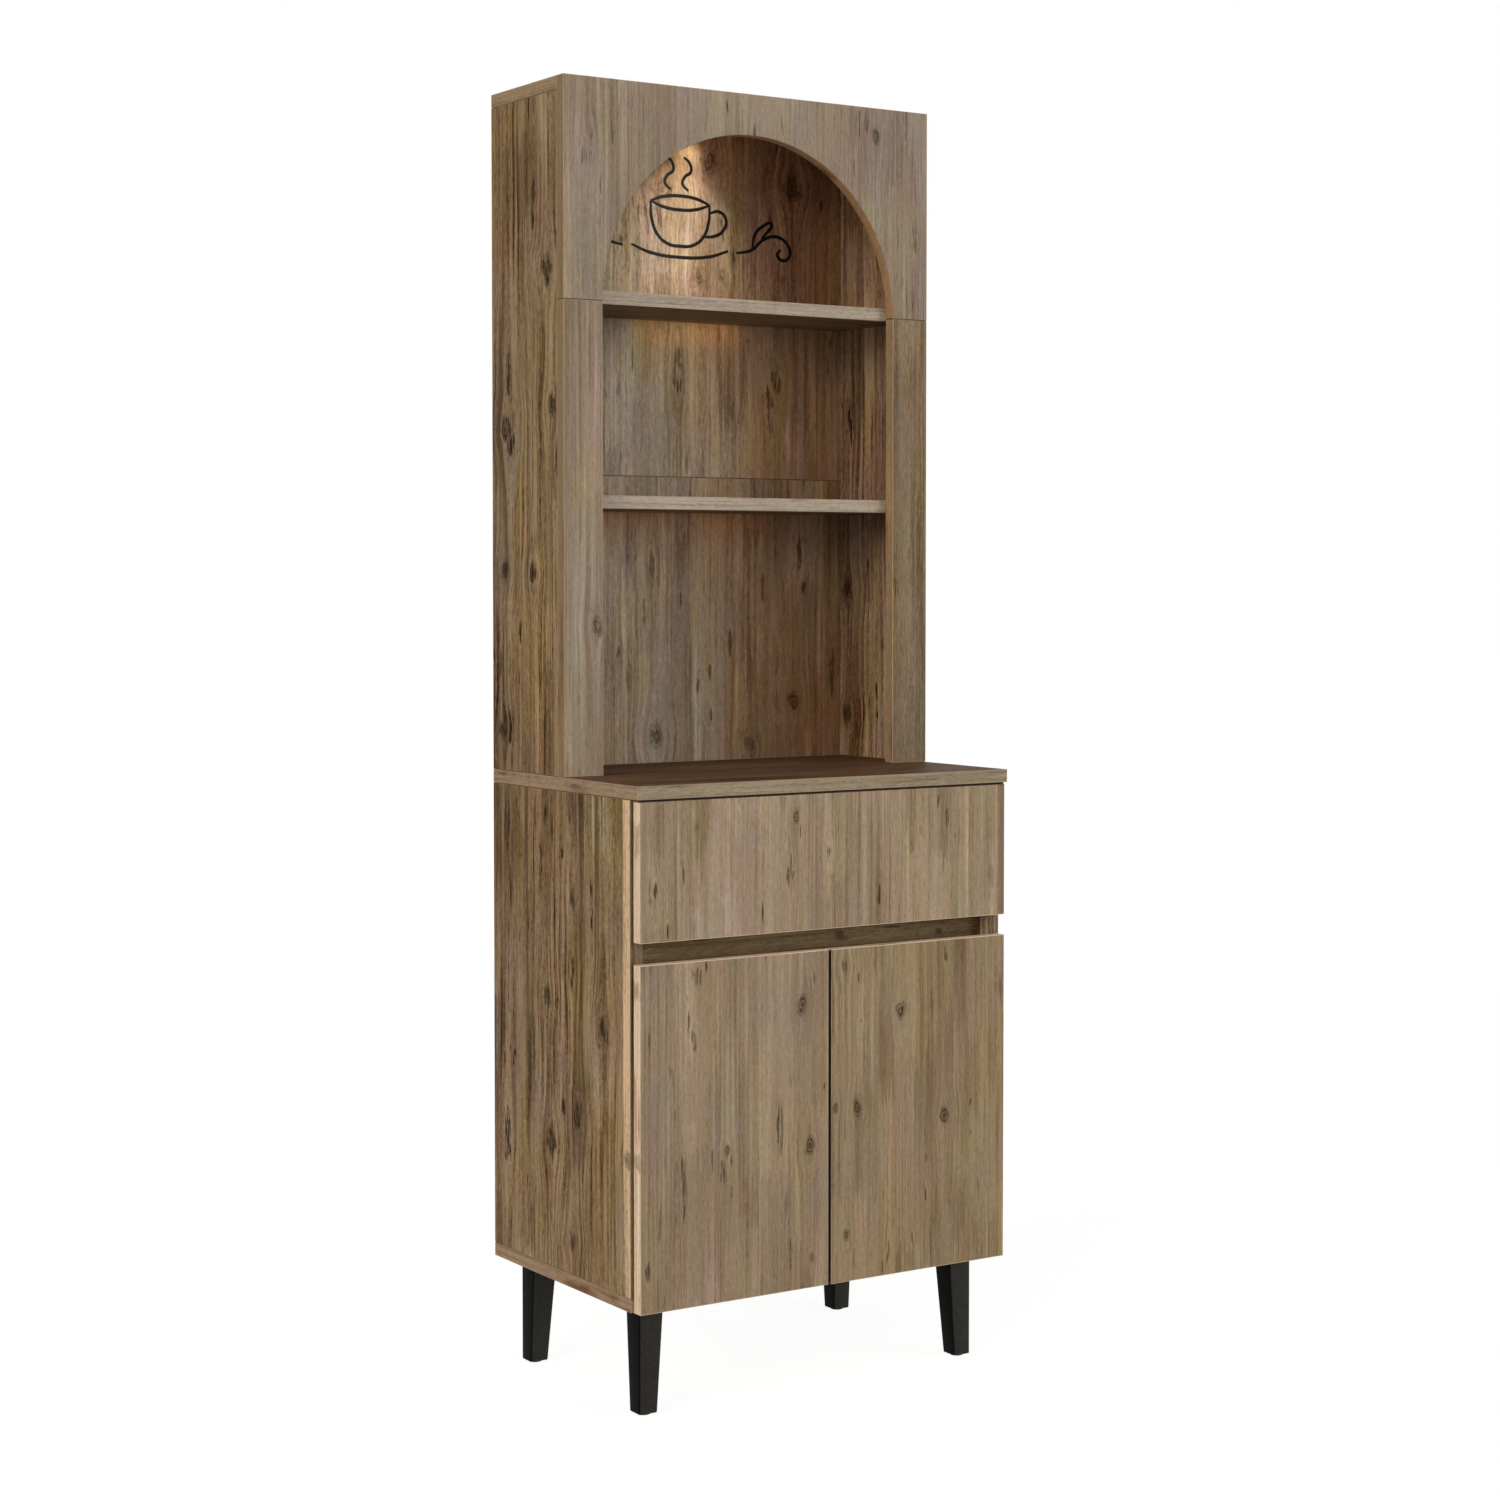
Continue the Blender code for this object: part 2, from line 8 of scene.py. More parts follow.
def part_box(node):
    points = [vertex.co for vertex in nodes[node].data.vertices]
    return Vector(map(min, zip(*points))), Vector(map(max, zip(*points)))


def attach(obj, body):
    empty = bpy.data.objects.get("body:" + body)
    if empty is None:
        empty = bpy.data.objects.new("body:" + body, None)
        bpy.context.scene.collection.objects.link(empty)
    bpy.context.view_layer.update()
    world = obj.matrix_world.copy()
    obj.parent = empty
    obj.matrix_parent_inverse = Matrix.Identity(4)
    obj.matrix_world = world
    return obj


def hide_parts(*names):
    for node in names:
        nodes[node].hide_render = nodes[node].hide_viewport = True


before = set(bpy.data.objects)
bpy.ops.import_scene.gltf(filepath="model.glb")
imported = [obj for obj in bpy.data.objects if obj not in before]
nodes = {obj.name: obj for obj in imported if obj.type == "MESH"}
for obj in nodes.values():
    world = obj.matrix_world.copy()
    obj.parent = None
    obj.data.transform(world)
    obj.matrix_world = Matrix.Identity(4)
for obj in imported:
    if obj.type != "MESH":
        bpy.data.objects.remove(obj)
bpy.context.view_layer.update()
print("frame loaded:", len(nodes), "nodes")


# camera, set by the photograph's corners

cameraView = {
    "place": (-2.1255, -3.2635, 1.0973),
    "pitch": -2.132,    # degrees, down
    "turn": -33.070,    # degrees, towards the right
    "lens": 67.067,
    "sensor": 36,
    "shift": -0.045,
}


def setCamera(view):
    turn = (math.radians(90 + view["pitch"]), 0, math.radians(view["turn"]))
    bpy.ops.object.camera_add(location=view["place"], rotation=turn)
    camera = bpy.context.object
    camera.data.sensor_width = view["sensor"]
    camera.data.lens = view["lens"]
    camera.data.shift_y = view["shift"]
    bpy.context.scene.camera = camera


setCamera(cameraView)


# shader nodes: a wire stands for a socket's value, so that sums of wires read as plain sums

class Wire:
    def __init__(self, socket):
        self.socket = socket
        self.tree = socket.id_data
        self.isVector = socket.type in ('VECTOR', 'RGBA')

    def __add__(self, other):
        return join('ADD', self, other)

    def __radd__(self, other):
        return join('ADD', other, self)

    def __sub__(self, other):
        return join('SUBTRACT', self, other)

    def __rsub__(self, other):
        return join('SUBTRACT', other, self)

    def __mul__(self, other):
        return join('MULTIPLY', self, other)

    def __rmul__(self, other):
        return join('MULTIPLY', other, self)

    def __truediv__(self, other):
        return join('DIVIDE', self, other)

    def __pow__(self, other):
        return join('POWER', self, other)

    def __rpow__(self, other):
        return join('POWER', other, self)

    def __abs__(self):
        return join('ABSOLUTE', self)

    def __gt__(self, other):
        return join('GREATER_THAN', self, other)

    def __lt__(self, other):
        return join('LESS_THAN', self, other)


def feed(socket, value):
    if isinstance(value, Wire):
        value.tree.links.new(value.socket, socket)
    elif value is not None:
        plainColor = socket.type == 'RGBA' and len(value) == 3
        socket.default_value = (*value, 1) if plainColor else value


def addNode(tree, kind, inputs=None, **settings):
    node = tree.nodes.new("ShaderNode" + kind)
    for key, value in settings.items():
        setattr(node, key, value)
    for label, value in (inputs or {}).items():
        feed(node.inputs[label], value)
    return node


def addWire(tree, kind, inputs=None, output=0, **settings):
    return Wire(addNode(tree, kind, inputs, **settings).outputs[output])


def treeOf(*values):
    return next(value.tree for value in values if isinstance(value, Wire))


def join(operation, first, second=None):
    # one step of maths, on vectors if a value is a vector, and by scale if only the first one is
    vectors = [value.isVector if isinstance(value, Wire) else isinstance(value, (tuple, list))
               for value in (first, second)]
    tree = treeOf(first, second)
    if vectors == [True, False]:
        return addWire(tree, "VectorMath", {0: first, "Scale": second}, operation='SCALE')
    kind = "VectorMath" if any(vectors) else "Math"
    return addWire(tree, kind, {0: first, 1: second}, operation=operation)


def highest(first, *others):
    for other in others:
        first = join('MAXIMUM', first, other)
    return first


def lowest(first, second):
    return join('MINIMUM', first, second)


def clamped(wire):
    wire.socket.node.use_clamp = True
    return wire


def length(vector):
    return addWire(vector.tree, "VectorMath", {0: vector}, "Value", operation='LENGTH')


def split(vector):
    return [Wire(part) for part in addNode(vector.tree, "SeparateXYZ", {0: vector}).outputs]


def spot(tree, kind="Object"):
    return addWire(tree, "TexCoord", None, kind)


def noise(vector, detail, rough=0.5, scale=1.0):
    given = {"Vector": vector, "Scale": scale, "Detail": detail, "Roughness": rough}
    return addWire(vector.tree, "TexNoise", given)


def ramp(wire, stops):
    node = addNode(wire.tree, "ValToRGB", {0: wire})
    band = node.color_ramp
    while len(band.elements) < len(stops):
        band.elements.new(0.5)
    for element, (place, color) in zip(band.elements, stops):
        element.position = place
        element.color = (*color, 1)
    return Wire(node.outputs[0])


def spread(wire, low, high, toLow=0.0, toHigh=1.0):
    given = dict(enumerate((wire, low, high, toLow, toHigh)))
    return addWire(wire.tree, "MapRange", given, clamp=True, interpolation_type='SMOOTHSTEP')


def blendColor(how, amount, first, second):
    given = {0: amount, 6: first, 7: second}
    return addWire(treeOf(amount, first, second), "Mix", given, 2, data_type='RGBA', blend_type=how)


def blendVector(amount, first, second):
    return addWire(amount.tree, "Mix", {0: amount, 4: first, 5: second}, 1, data_type='VECTOR')


def newMaterial(name):
    material = bpy.data.materials.new(name)
    material.use_nodes = True
    tree = material.node_tree
    return material, tree, tree.nodes["Principled BSDF"]


def dress(shader, inputs, bump=None):
    # feeds a shader, with its bump as height, strength and distance
    for label, value in inputs.items():
        feed(shader.inputs[label], value)
    if bump is not None:
        given = dict(zip(("Height", "Strength", "Distance"), bump))
        feed(shader.inputs["Normal"], addWire(shader.id_data, "Bump", given))


# studio: white sky for the camera, soft sky for the object, pale floor

studio = {
    "horizonSky": 0.80,           # light from low in the sky
    "zenithSky": 0.06,            # light from overhead
    "zenithFrom": 0.95,
    "floorBounce": 0.70,          # floor as the object sees it
    "floorGlow": 0.90,            # floor as the camera sees it: glow and shaded paint
    "floorPaint": 0.32,
    "floorSize": 60,
    "keyTurn": (85, 0, 36),       # degrees, from the front right
    "keyPower": 1.475,
    "keySoftness": 32,            # degrees
    "keyColor": (1.0, 0.98, 0.96),
    "sideTurn": (70, 0, -65),     # degrees, from the left
    "sidePower": 0.98,
    "sideSoftness": 30,
    "sideColor": (1.0, 0.86, 0.68),
}


def seenRays(tree):
    rays = addNode(tree, "LightPath").outputs
    return highest(*[Wire(rays["Is " + kind + " Ray"]) for kind in ("Camera", "Glossy", "Transmission")])


def setStudio(look):
    world = bpy.data.worlds.new("studioSky")
    bpy.context.scene.world = world
    world.use_nodes = True
    tree = world.node_tree
    tree.nodes.clear()
    up = split(spot(tree, "Generated"))[2]
    soft = spread(up, 0.0, look["zenithFrom"], look["horizonSky"], look["zenithSky"])
    strength = soft + seenRays(tree) * (1.0 - soft)
    sky = addWire(tree, "Background", {"Color": (1, 1, 1), "Strength": strength})
    addNode(tree, "OutputWorld", {"Surface": sky})

    bpy.ops.object.select_all(action='DESELECT')
    bpy.ops.mesh.primitive_plane_add(size=look["floorSize"])
    floor = bpy.context.object
    floor.name = "studioFloor"
    paint = bpy.data.materials.new("floorPaint")
    paint.use_nodes = True
    tree = paint.node_tree
    tree.nodes.clear()
    bounce = addWire(tree, "BsdfDiffuse", {"Color": [look["floorBounce"]] * 3})
    shaded = addWire(tree, "BsdfDiffuse", {"Color": [look["floorPaint"]] * 3})
    glow = addWire(tree, "Emission", {"Strength": look["floorGlow"]})
    pale = addWire(tree, "AddShader", {0: shaded, 1: glow})
    both = addWire(tree, "MixShader", {0: seenRays(tree), 1: bounce, 2: pale})
    addNode(tree, "OutputMaterial", {"Surface": both})
    floor.data.materials.append(paint)

    for side in ("key", "side"):
        turn = [math.radians(angle) for angle in look[side + "Turn"]]
        bpy.ops.object.light_add(type='SUN', rotation=turn)
        lamp = bpy.context.object
        lamp.name = side + "Light"
        lamp.data.energy = look[side + "Power"]
        lamp.data.angle = math.radians(look[side + "Softness"])
        lamp.data.color = look[side + "Color"]


setStudio(studio)
bpy.context.scene.view_settings.view_transform = 'Standard'
print("camera and studio set")


# pine decor: staves, streaks, knots and pitch marks along the grain
# grain vectors hold metres across the grain, along it, and through the board

pine = {
    "staveWidth": 0.040,
    "staveLength": 0.15,
    "stripWidth": 0.017,
    "stripLength": 0.10,
    "umber": (0.140, 0.089, 0.052),
    "mauve": (0.208, 0.144, 0.092),
    "taupe": (0.268, 0.193, 0.127),
    "olive": (0.302, 0.220, 0.144),
    "tan": (0.372, 0.279, 0.190),
    "grey": (0.245, 0.196, 0.143),
    "streak": (0.036, 0.019, 0.009),
    "knot": (0.024, 0.012, 0.006),
    # near black for the painted shade in the gaps
    "glue": (0.012, 0.008, 0.006),
    "bandStain": (0.40, 0.20, 0.105),
    "fibreDark": (0.24, 0.16, 0.098),
    "fibrePale": (0.34, 0.235, 0.15),
    "roughness": 0.43,
    "specular": 0.03,
    "bump": (0.3, 0.0004),        # strength and distance
}


def newGroup(name, inputs, outputs):
    group = bpy.data.node_groups.new(name, "ShaderNodeTree")
    for side, sockets in (('INPUT', inputs), ('OUTPUT', outputs)):
        for label, kind in sockets.items():
            group.interface.new_socket(label, in_out=side, socket_type="NodeSocket" + kind)
    entry = group.nodes.new("NodeGroupInput")
    leave = group.nodes.new("NodeGroupOutput")
    return group, {label: Wire(entry.outputs[label]) for label in inputs}, leave.inputs


def streaks(grain, across, along, seed, detail, rough=0.55):
    return noise(grain * (across, along, across) + (seed, seed * 1.7, 0.0), detail, rough)


def makeMarkGroup():
    # one knot or crack: bends the grain round it and adds its dark rings or streak
    inputs = {"Grain": "Vector", "Dark": "Float", "Place": "Vector", "Reach": "Vector", "Depth": "Float",
              "Ring": "Float", "Wobble": "Float", "Fibre": "Float"}
    group, given, out = newGroup("barkMark", inputs, {"Grain": "Vector", "Dark": "Float"})
    fibre = given["Fibre"]
    away = given["Grain"] - given["Place"]
    far = length(away * (1, 1, 0) / given["Reach"]) + given["Wobble"]
    near = math.e ** (far * far * -0.16)
    feed(out["Grain"], given["Grain"] + away * (1, 0, 0) * (near * -0.75))
    rim = spread(abs(far - 1.0), 0.04, 0.22, 0.6, 0.0)
    core = clamped(spread(abs(far - 0.58), 0.1, 0.3, 1.0, 0.0) * (fibre * 0.4 + 1.0))
    pit = spread(far, 0.1, 0.4, 0.95, 0.0)
    body = spread(far, 0.7, 1.1, 0.4, 0.0)
    halo = spread(far, 0.9, 2.4, 0.14, 0.0)
    rings = highest(rim, core, pit, body, halo)
    streak = spread(far + fibre, 0.5, 1.1, 1.0, 0.0) * spread(fibre, -0.2, 0.5, 1.0, 0.3)
    mark = (streak + given["Ring"] * (rings - streak)) * given["Depth"]
    feed(out["Dark"], highest(given["Dark"], mark))
    return group


def makePineGroup(look):
    inputs = {"Grain": "Vector", "Dark": "Float", "Edge": "Float", "Tint": "Color", "Band": "Color",
              "Contrast": "Float", "Lines": "Float", "Hue": "Float"}
    outputs = {"Color": "Color", "Roughness": "Float", "Height": "Float"}
    group, given, out = newGroup("pineDecor", inputs, outputs)
    grain, dark, lined, hue = (given[label] for label in ("Grain", "Dark", "Lines", "Hue"))
    across, along = split(grain)[:2]

    def cells(place, width):
        given = {"W": place / width, "Scale": 1.0}
        color = addWire(group, "TexVoronoi", given, "Color", voronoi_dimensions='1D')
        return [Wire(part) for part in addNode(group, "SeparateColor", {0: color}).outputs]

    def mixed(*parts):
        return sum((wire - 0.5) * weight for wire, weight in parts)

    # staves and the narrower strips end at different heights, with ragged ends
    ragged = streaks(grain, 260, 12.0, 3.0, 2.0) * 0.16 + along
    stave = cells(across, look["staveWidth"])
    strip = cells(across, look["stripWidth"])
    block = cells(stave[0] * 7.3 + ragged, look["staveLength"])
    piece = cells(strip[0] * 9.1 + ragged, look["stripLength"])
    broad = streaks(grain, 20, 1.4, 5.0, 2.0)
    bands = streaks(grain, 75, 2.2, 11.0, 3.0)
    lines = streaks(grain, 230, 2.8, 23.0, 3.0, 0.62)
    specks = streaks(grain, 520, 60.0, 31.0, 2.0, 0.6)
    pores = streaks(grain, 420, 150.0, 37.0, 1.0, 0.6)
    patches = streaks(grain, 18, 5.0, 47.0, 3.0)
    tone = mixed((stave[0], 0.22), (block[0], 0.32), (strip[0], 0.18), (piece[0], 0.28), (broad, 0.6),
                 (lines, 0.2))
    base = ramp(tone * given["Contrast"] + 0.54,
                [(0.02, look["umber"]), (0.28, look["mauve"]), (0.47, look["taupe"]), (0.66, look["olive"]),
                 (0.95, look["tan"])])
    base = blendColor('MIX', spread(patches, 0.50, 0.66) * (stave[1] * 0.7), base, look["grey"])
    lively = spread(streaks(grain, 24, 5.5, 173.0, 2.0), 0.36, 0.63, 0.4, 1.6)
    light = mixed((bands, 0.45), (lines, 1.05)) * (lively * lined)
    light = mixed((specks, 0.7), (pores, 0.45)) * lowest(lined, 1.6) + light
    light = lowest(light + 1.0, 1.3)

    # darker grain is also redder, and strips drift between blue and yellow, and between green and mauve
    cool = mixed((streaks(grain, 32, 7.0, 131.0, 2.0), 0.7), (block[1], 0.26), (piece[1], 0.20)) * hue
    green = mixed((streaks(grain, 40, 6.0, 149.0, 2.0), 0.7), (block[2], 0.15), (piece[2], 0.15))
    green = green * (hue * 0.24 + 0.17)
    greenShare = (cool * 0.22 + (green + 1.0)) * light ** 1.2
    blueShare = (green * -0.3 + (cool + 1.0)) * light ** 1.4
    shaded = base * addWire(group, "CombineXYZ", {0: light, 1: greenShare, 2: blueShare})

    # pitch ticks in columns, long thin cracks, and dark grain lines
    column = spread(streaks(grain, 30, 1.7, 61.0, 2.0), 0.49, 0.62)
    tick = spread(streaks(grain, 135, 17.0, 71.0, 2.0, 0.6), 0.60, 0.70)
    field = spread(streaks(grain, 9, 1.5, 97.0, 2.0), 0.44, 0.60)
    fissure = spread(streaks(grain, 160, 4.5, 83.0, 3.0, 0.6), 0.62, 0.73)
    mark = clamped(highest(tick * column, fissure * field) * (lined * 0.5))
    stripe = spread(streaks(grain, 110, 1.8, 113.0, 3.0, 0.6), 0.53, 0.70, 0.0, 0.6)
    mark = highest(mark, stripe * clamped((lined - 0.7) * 0.65))
    marked = blendColor('MIX', mark, shaded, look["streak"])
    marked = blendColor('MIX', dark, marked, look["knot"])
    tinted = blendColor('MULTIPLY', 1.0, marked, given["Tint"])

    # the edge band has its own paler strip with a few red stains
    band = given["Band"] * (light * 0.9 + 0.1)
    stain = spread(patches, 0.54, 0.68) * spread(bands, 0.42, 0.56, 0.0, 0.75)
    band = blendColor('MULTIPLY', stain, band, look["bandStain"])
    band = blendColor('MIX', dark * 0.8, band, look["streak"])
    feed(out["Color"], blendColor('MIX', given["Edge"], tinted, band))
    feed(out["Roughness"], mark * 0.2 + (lines * 0.24 + look["roughness"]))
    feed(out["Height"], lines * 0.6 + specks * 0.4 - mark - dark * 0.4)
    return group


markGroup = makeMarkGroup()
pineGroup = makePineGroup(pine)

# how a board lies: which axes run across, along and through its face, and on its ends
boardLays = {
    "front": {"face": "XZY", "end": "YXZ"},
    "side": {"face": "YZX", "end": "XYZ"},
    "flat": {"face": "YXZ", "end": "ZYX"},
    "rail": {"face": "ZXY", "end": "YZX"},
}

# widths in metres of what is drawn at a board's edges
boardEdges = {
    "outside": 0.2992,              # from here on an edge belongs to the cabinet's side
    "paleFade": 0.003,
    # the arris colour, wear with a painted highlight: full up to the first width, gone at the second, and its
    # strength
    "wearAndHighlight": (0.0004, 0.0013),
    "wearAndHighlightShare": 0.6,
    # the painted gap shade line: its half width, and how far back from the front it reaches
    "glueHalf": 0.0013,
    "glueDepth": 0.002,
    "livelyFade": 0.004,
}


def pineBoard(name, lay, seed, marks, tint, band, arris, contrast, lines, hue, depth, wide=1.0, endBand=None,
              outerBand=None, paleFront=None, glueLine=None, seams=(), plainBack=False, tone=(1, 1, 1),
              sweep=(), lively=None):
    material, tree, shader = newMaterial("pine_" + name)
    edges = boardEdges
    low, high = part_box(name)
    places = split(spot(tree))
    facing = split(spot(tree, "Normal"))
    face, end = boardLays[lay]["face"], boardLays[lay]["end"]

    def turned(order):
        return addWire(tree, "CombineXYZ", dict(enumerate(places["XYZ".index(axis)] for axis in order)))

    onEnd = abs(facing["XYZ".index(face[1])]) > 0.6
    onEdge = abs(facing["XYZ".index(face[2])]) < 0.9
    grain = blendVector(onEnd, turned(face), turned(end))
    wobble = (streaks(grain, 95, 50, 3.0, 3.0) - 0.5) * 1.8
    fibre = (streaks(grain, 380, 34, 7.0, 2.0) - 0.5) * 3.4
    dark = 0.0
    for ring, place, (halfWide, halfLong), strength in marks:
        given = {"Grain": grain, "Dark": dark, "Place": place, "Reach": (halfWide * wide ** 0.4, halfLong, 1),
                 "Depth": min(1.0, strength * depth), "Ring": ring, "Wobble": wobble, "Fibre": fibre}
        mark = addNode(tree, "Group", given, node_tree=markGroup)
        grain, dark = Wire(mark.outputs["Grain"]), Wire(mark.outputs["Dark"])
    dice = random.Random(seed)
    grain = grain * (1 / wide, 1, 1) + [dice.uniform(-30, 30) for axis in range(3)]
    if endBand is not None:
        band = blendColor('MIX', onEnd, band, endBand)
    if outerBand is not None:                   # the edge that goes on from the cabinet's side
        band = blendColor('MIX', abs(places[0]) > edges["outside"], band, outerBand)
    if paleFront is not None:                   # a paler stave along the front margin
        level, color = paleFront
        pale = spread(places[1], level + edges["paleFade"], level, 0.0, 0.9)
        band = blendColor('MIX', pale, band, color)
        onEdge = highest(onEdge, pale)
    # arrises, near two faces at once, take the arris colour: wear with a painted highlight
    inside = [lowest(place - least, most - place) for place, least, most in zip(places, low, high)]
    second = lowest(highest(inside[0], inside[1]), inside[2])
    second = highest(lowest(inside[0], inside[1]), second)
    wearAndHighlight = spread(second, *edges["wearAndHighlight"], edges["wearAndHighlightShare"], 0.0)
    if glueLine is not None:                    # painted shade in a gap: a dark line on the front of the edge that faces it
        axis, level = glueLine
        atFace = places[1] < low[1] + edges["glueDepth"]
        line = (abs(places[axis] - level) < edges["glueHalf"]) * (atFace * onEdge)
        wearAndHighlight = wearAndHighlight * (1.0 - line)
        band = blendColor('MIX', line, band, pine["glue"])
    for axis, level, half, strength in seams:   # a dark line along a joint: painted shade in the joint, and on the drawer front painted shadow under the worktop's edge
        line = spread(abs(places[axis] - level), half * 0.6, half, strength, 0.0)
        dark = highest(dark, line)
        clear = 1.0 - line
        onEdge = onEdge * clear
        wearAndHighlight = wearAndHighlight * clear
    tint = [value * share for value, share in zip(tint, tone)]
    if sweep:                                   # the colour drifts from the left end to the right: painted shade and warm bounce light on the back panels, and darker towards the right on the arch header
        stops = [(place, [value / 2 for value in shares]) for place, shares in sweep]
        span = (places[0] - low[0]) / (high[0] - low[0])
        tint = ramp(span, stops) * [value * 2 for value in tint]
    if lively is not None:                      # above a level the grain stands out more and the tint turns darker and redder: painted warm shade in the niche
        level, share, shade = lively
        above = spread(places[2], level, level + edges["livelyFade"])
        lines = above * (lines * (share - 1)) + lines
        tint = blendColor('MULTIPLY', above, tint, shade)
    given = {"Grain": grain, "Dark": dark, "Edge": onEdge, "Tint": tint, "Band": band, "Contrast": contrast,
             "Lines": lines, "Hue": hue}
    decor = addNode(tree, "Group", given, node_tree=pineGroup)
    color, rough, height = (Wire(result) for result in decor.outputs)
    color = blendColor('MIX', wearAndHighlight, color, arris)
    if plainBack:                               # the rear of a panel is bare brown fibre
        fluff = noise(spot(tree), 4.0, scale=260.0)
        bare = ramp(fluff, [(0.3, pine["fibreDark"]), (0.7, pine["fibrePale"])])
        color = blendColor('MIX', facing[1] > 0.5, color, bare)
    dress(shader, {"Base Color": color, "Roughness": rough, "Specular IOR Level": pine["specular"]},
          (height, *pine["bump"]))
    return material


# by the kind of board: tint, band on its edges, ends and outside, arris colour (wear with a painted
# highlight), contrast of staves and of grain lines, drift of hue, depth of marks, breadth of decor
finishes = {
    "front": {"tint": (1.31, 1.38, 1.40), "band": (0.97, 0.76, 0.56), "arris": (0.84, 0.68, 0.50),
              "contrast": 0.80, "lines": 0.79, "hue": 0.40, "depth": 0.86},
    "frame": {"tint": (1.24, 1.33, 1.49), "band": (0.40, 0.28, 0.17), "arris": (0.62, 0.43, 0.27),
              "contrast": 0.62, "lines": 0.75, "hue": 0.5, "depth": 0.8, "outerBand": (0.30, 0.215, 0.125)},
    "side": {"tint": (1.01, 0.93, 0.765), "band": (0.46, 0.33, 0.20), "arris": (0.40, 0.28, 0.16),
             "contrast": 1.2, "lines": 2.4, "hue": 0.9, "depth": 1.35, "wide": 1.6},
    "back": {"tint": (1.14, 1.10, 1.00), "band": (0.28, 0.20, 0.13), "arris": (0.28, 0.20, 0.13),
             "contrast": 1.1, "lines": 1.05, "hue": 0.85, "depth": 0.75, "wide": 1.4},
    "shelf": {"tint": (0.80, 0.73, 0.66), "band": (0.41, 0.342, 0.270), "arris": (0.50, 0.41, 0.31),
              "contrast": 1.0, "lines": 1.2, "hue": 0.5, "depth": 0.8},
    # the top boards' faces are tinted darker and browner: painted shade on their upward faces
    "top": {"tint": (0.58, 0.45, 0.40), "band": (0.335, 0.27, 0.185), "endBand": (0.40, 0.285, 0.19),
            "arris": (0.55, 0.39, 0.27), "contrast": 1.2, "lines": 1.3, "hue": 0.6, "depth": 0.8},
    "sill": {"tint": (0.85, 0.75, 0.58), "band": (0.43, 0.31, 0.195), "endBand": (0.37, 0.26, 0.17),
             "arris": (0.50, 0.35, 0.23), "contrast": 1.0, "lines": 1.5, "hue": 0.6, "depth": 0.8},
    "rail": {"tint": (0.62, 0.60, 0.45), "band": (0.28, 0.21, 0.14), "arris": (0.20, 0.15, 0.10),
             "contrast": 0.9, "lines": 1.2, "hue": 0.5, "depth": 0.8},
}


def knot(across, along, halfWide, halfLong, depth, ring=1.0):
    # a mark by millimetres and percent; ring is how much of it is ring and not filled streak
    return ring, (across / 1000, along / 1000, 0), (halfWide / 1000, halfLong / 1000), depth / 100


def eye(*sizes):
    return knot(*sizes, ring=0.35)


def crack(*sizes):
    return knot(*sizes, ring=0.0)


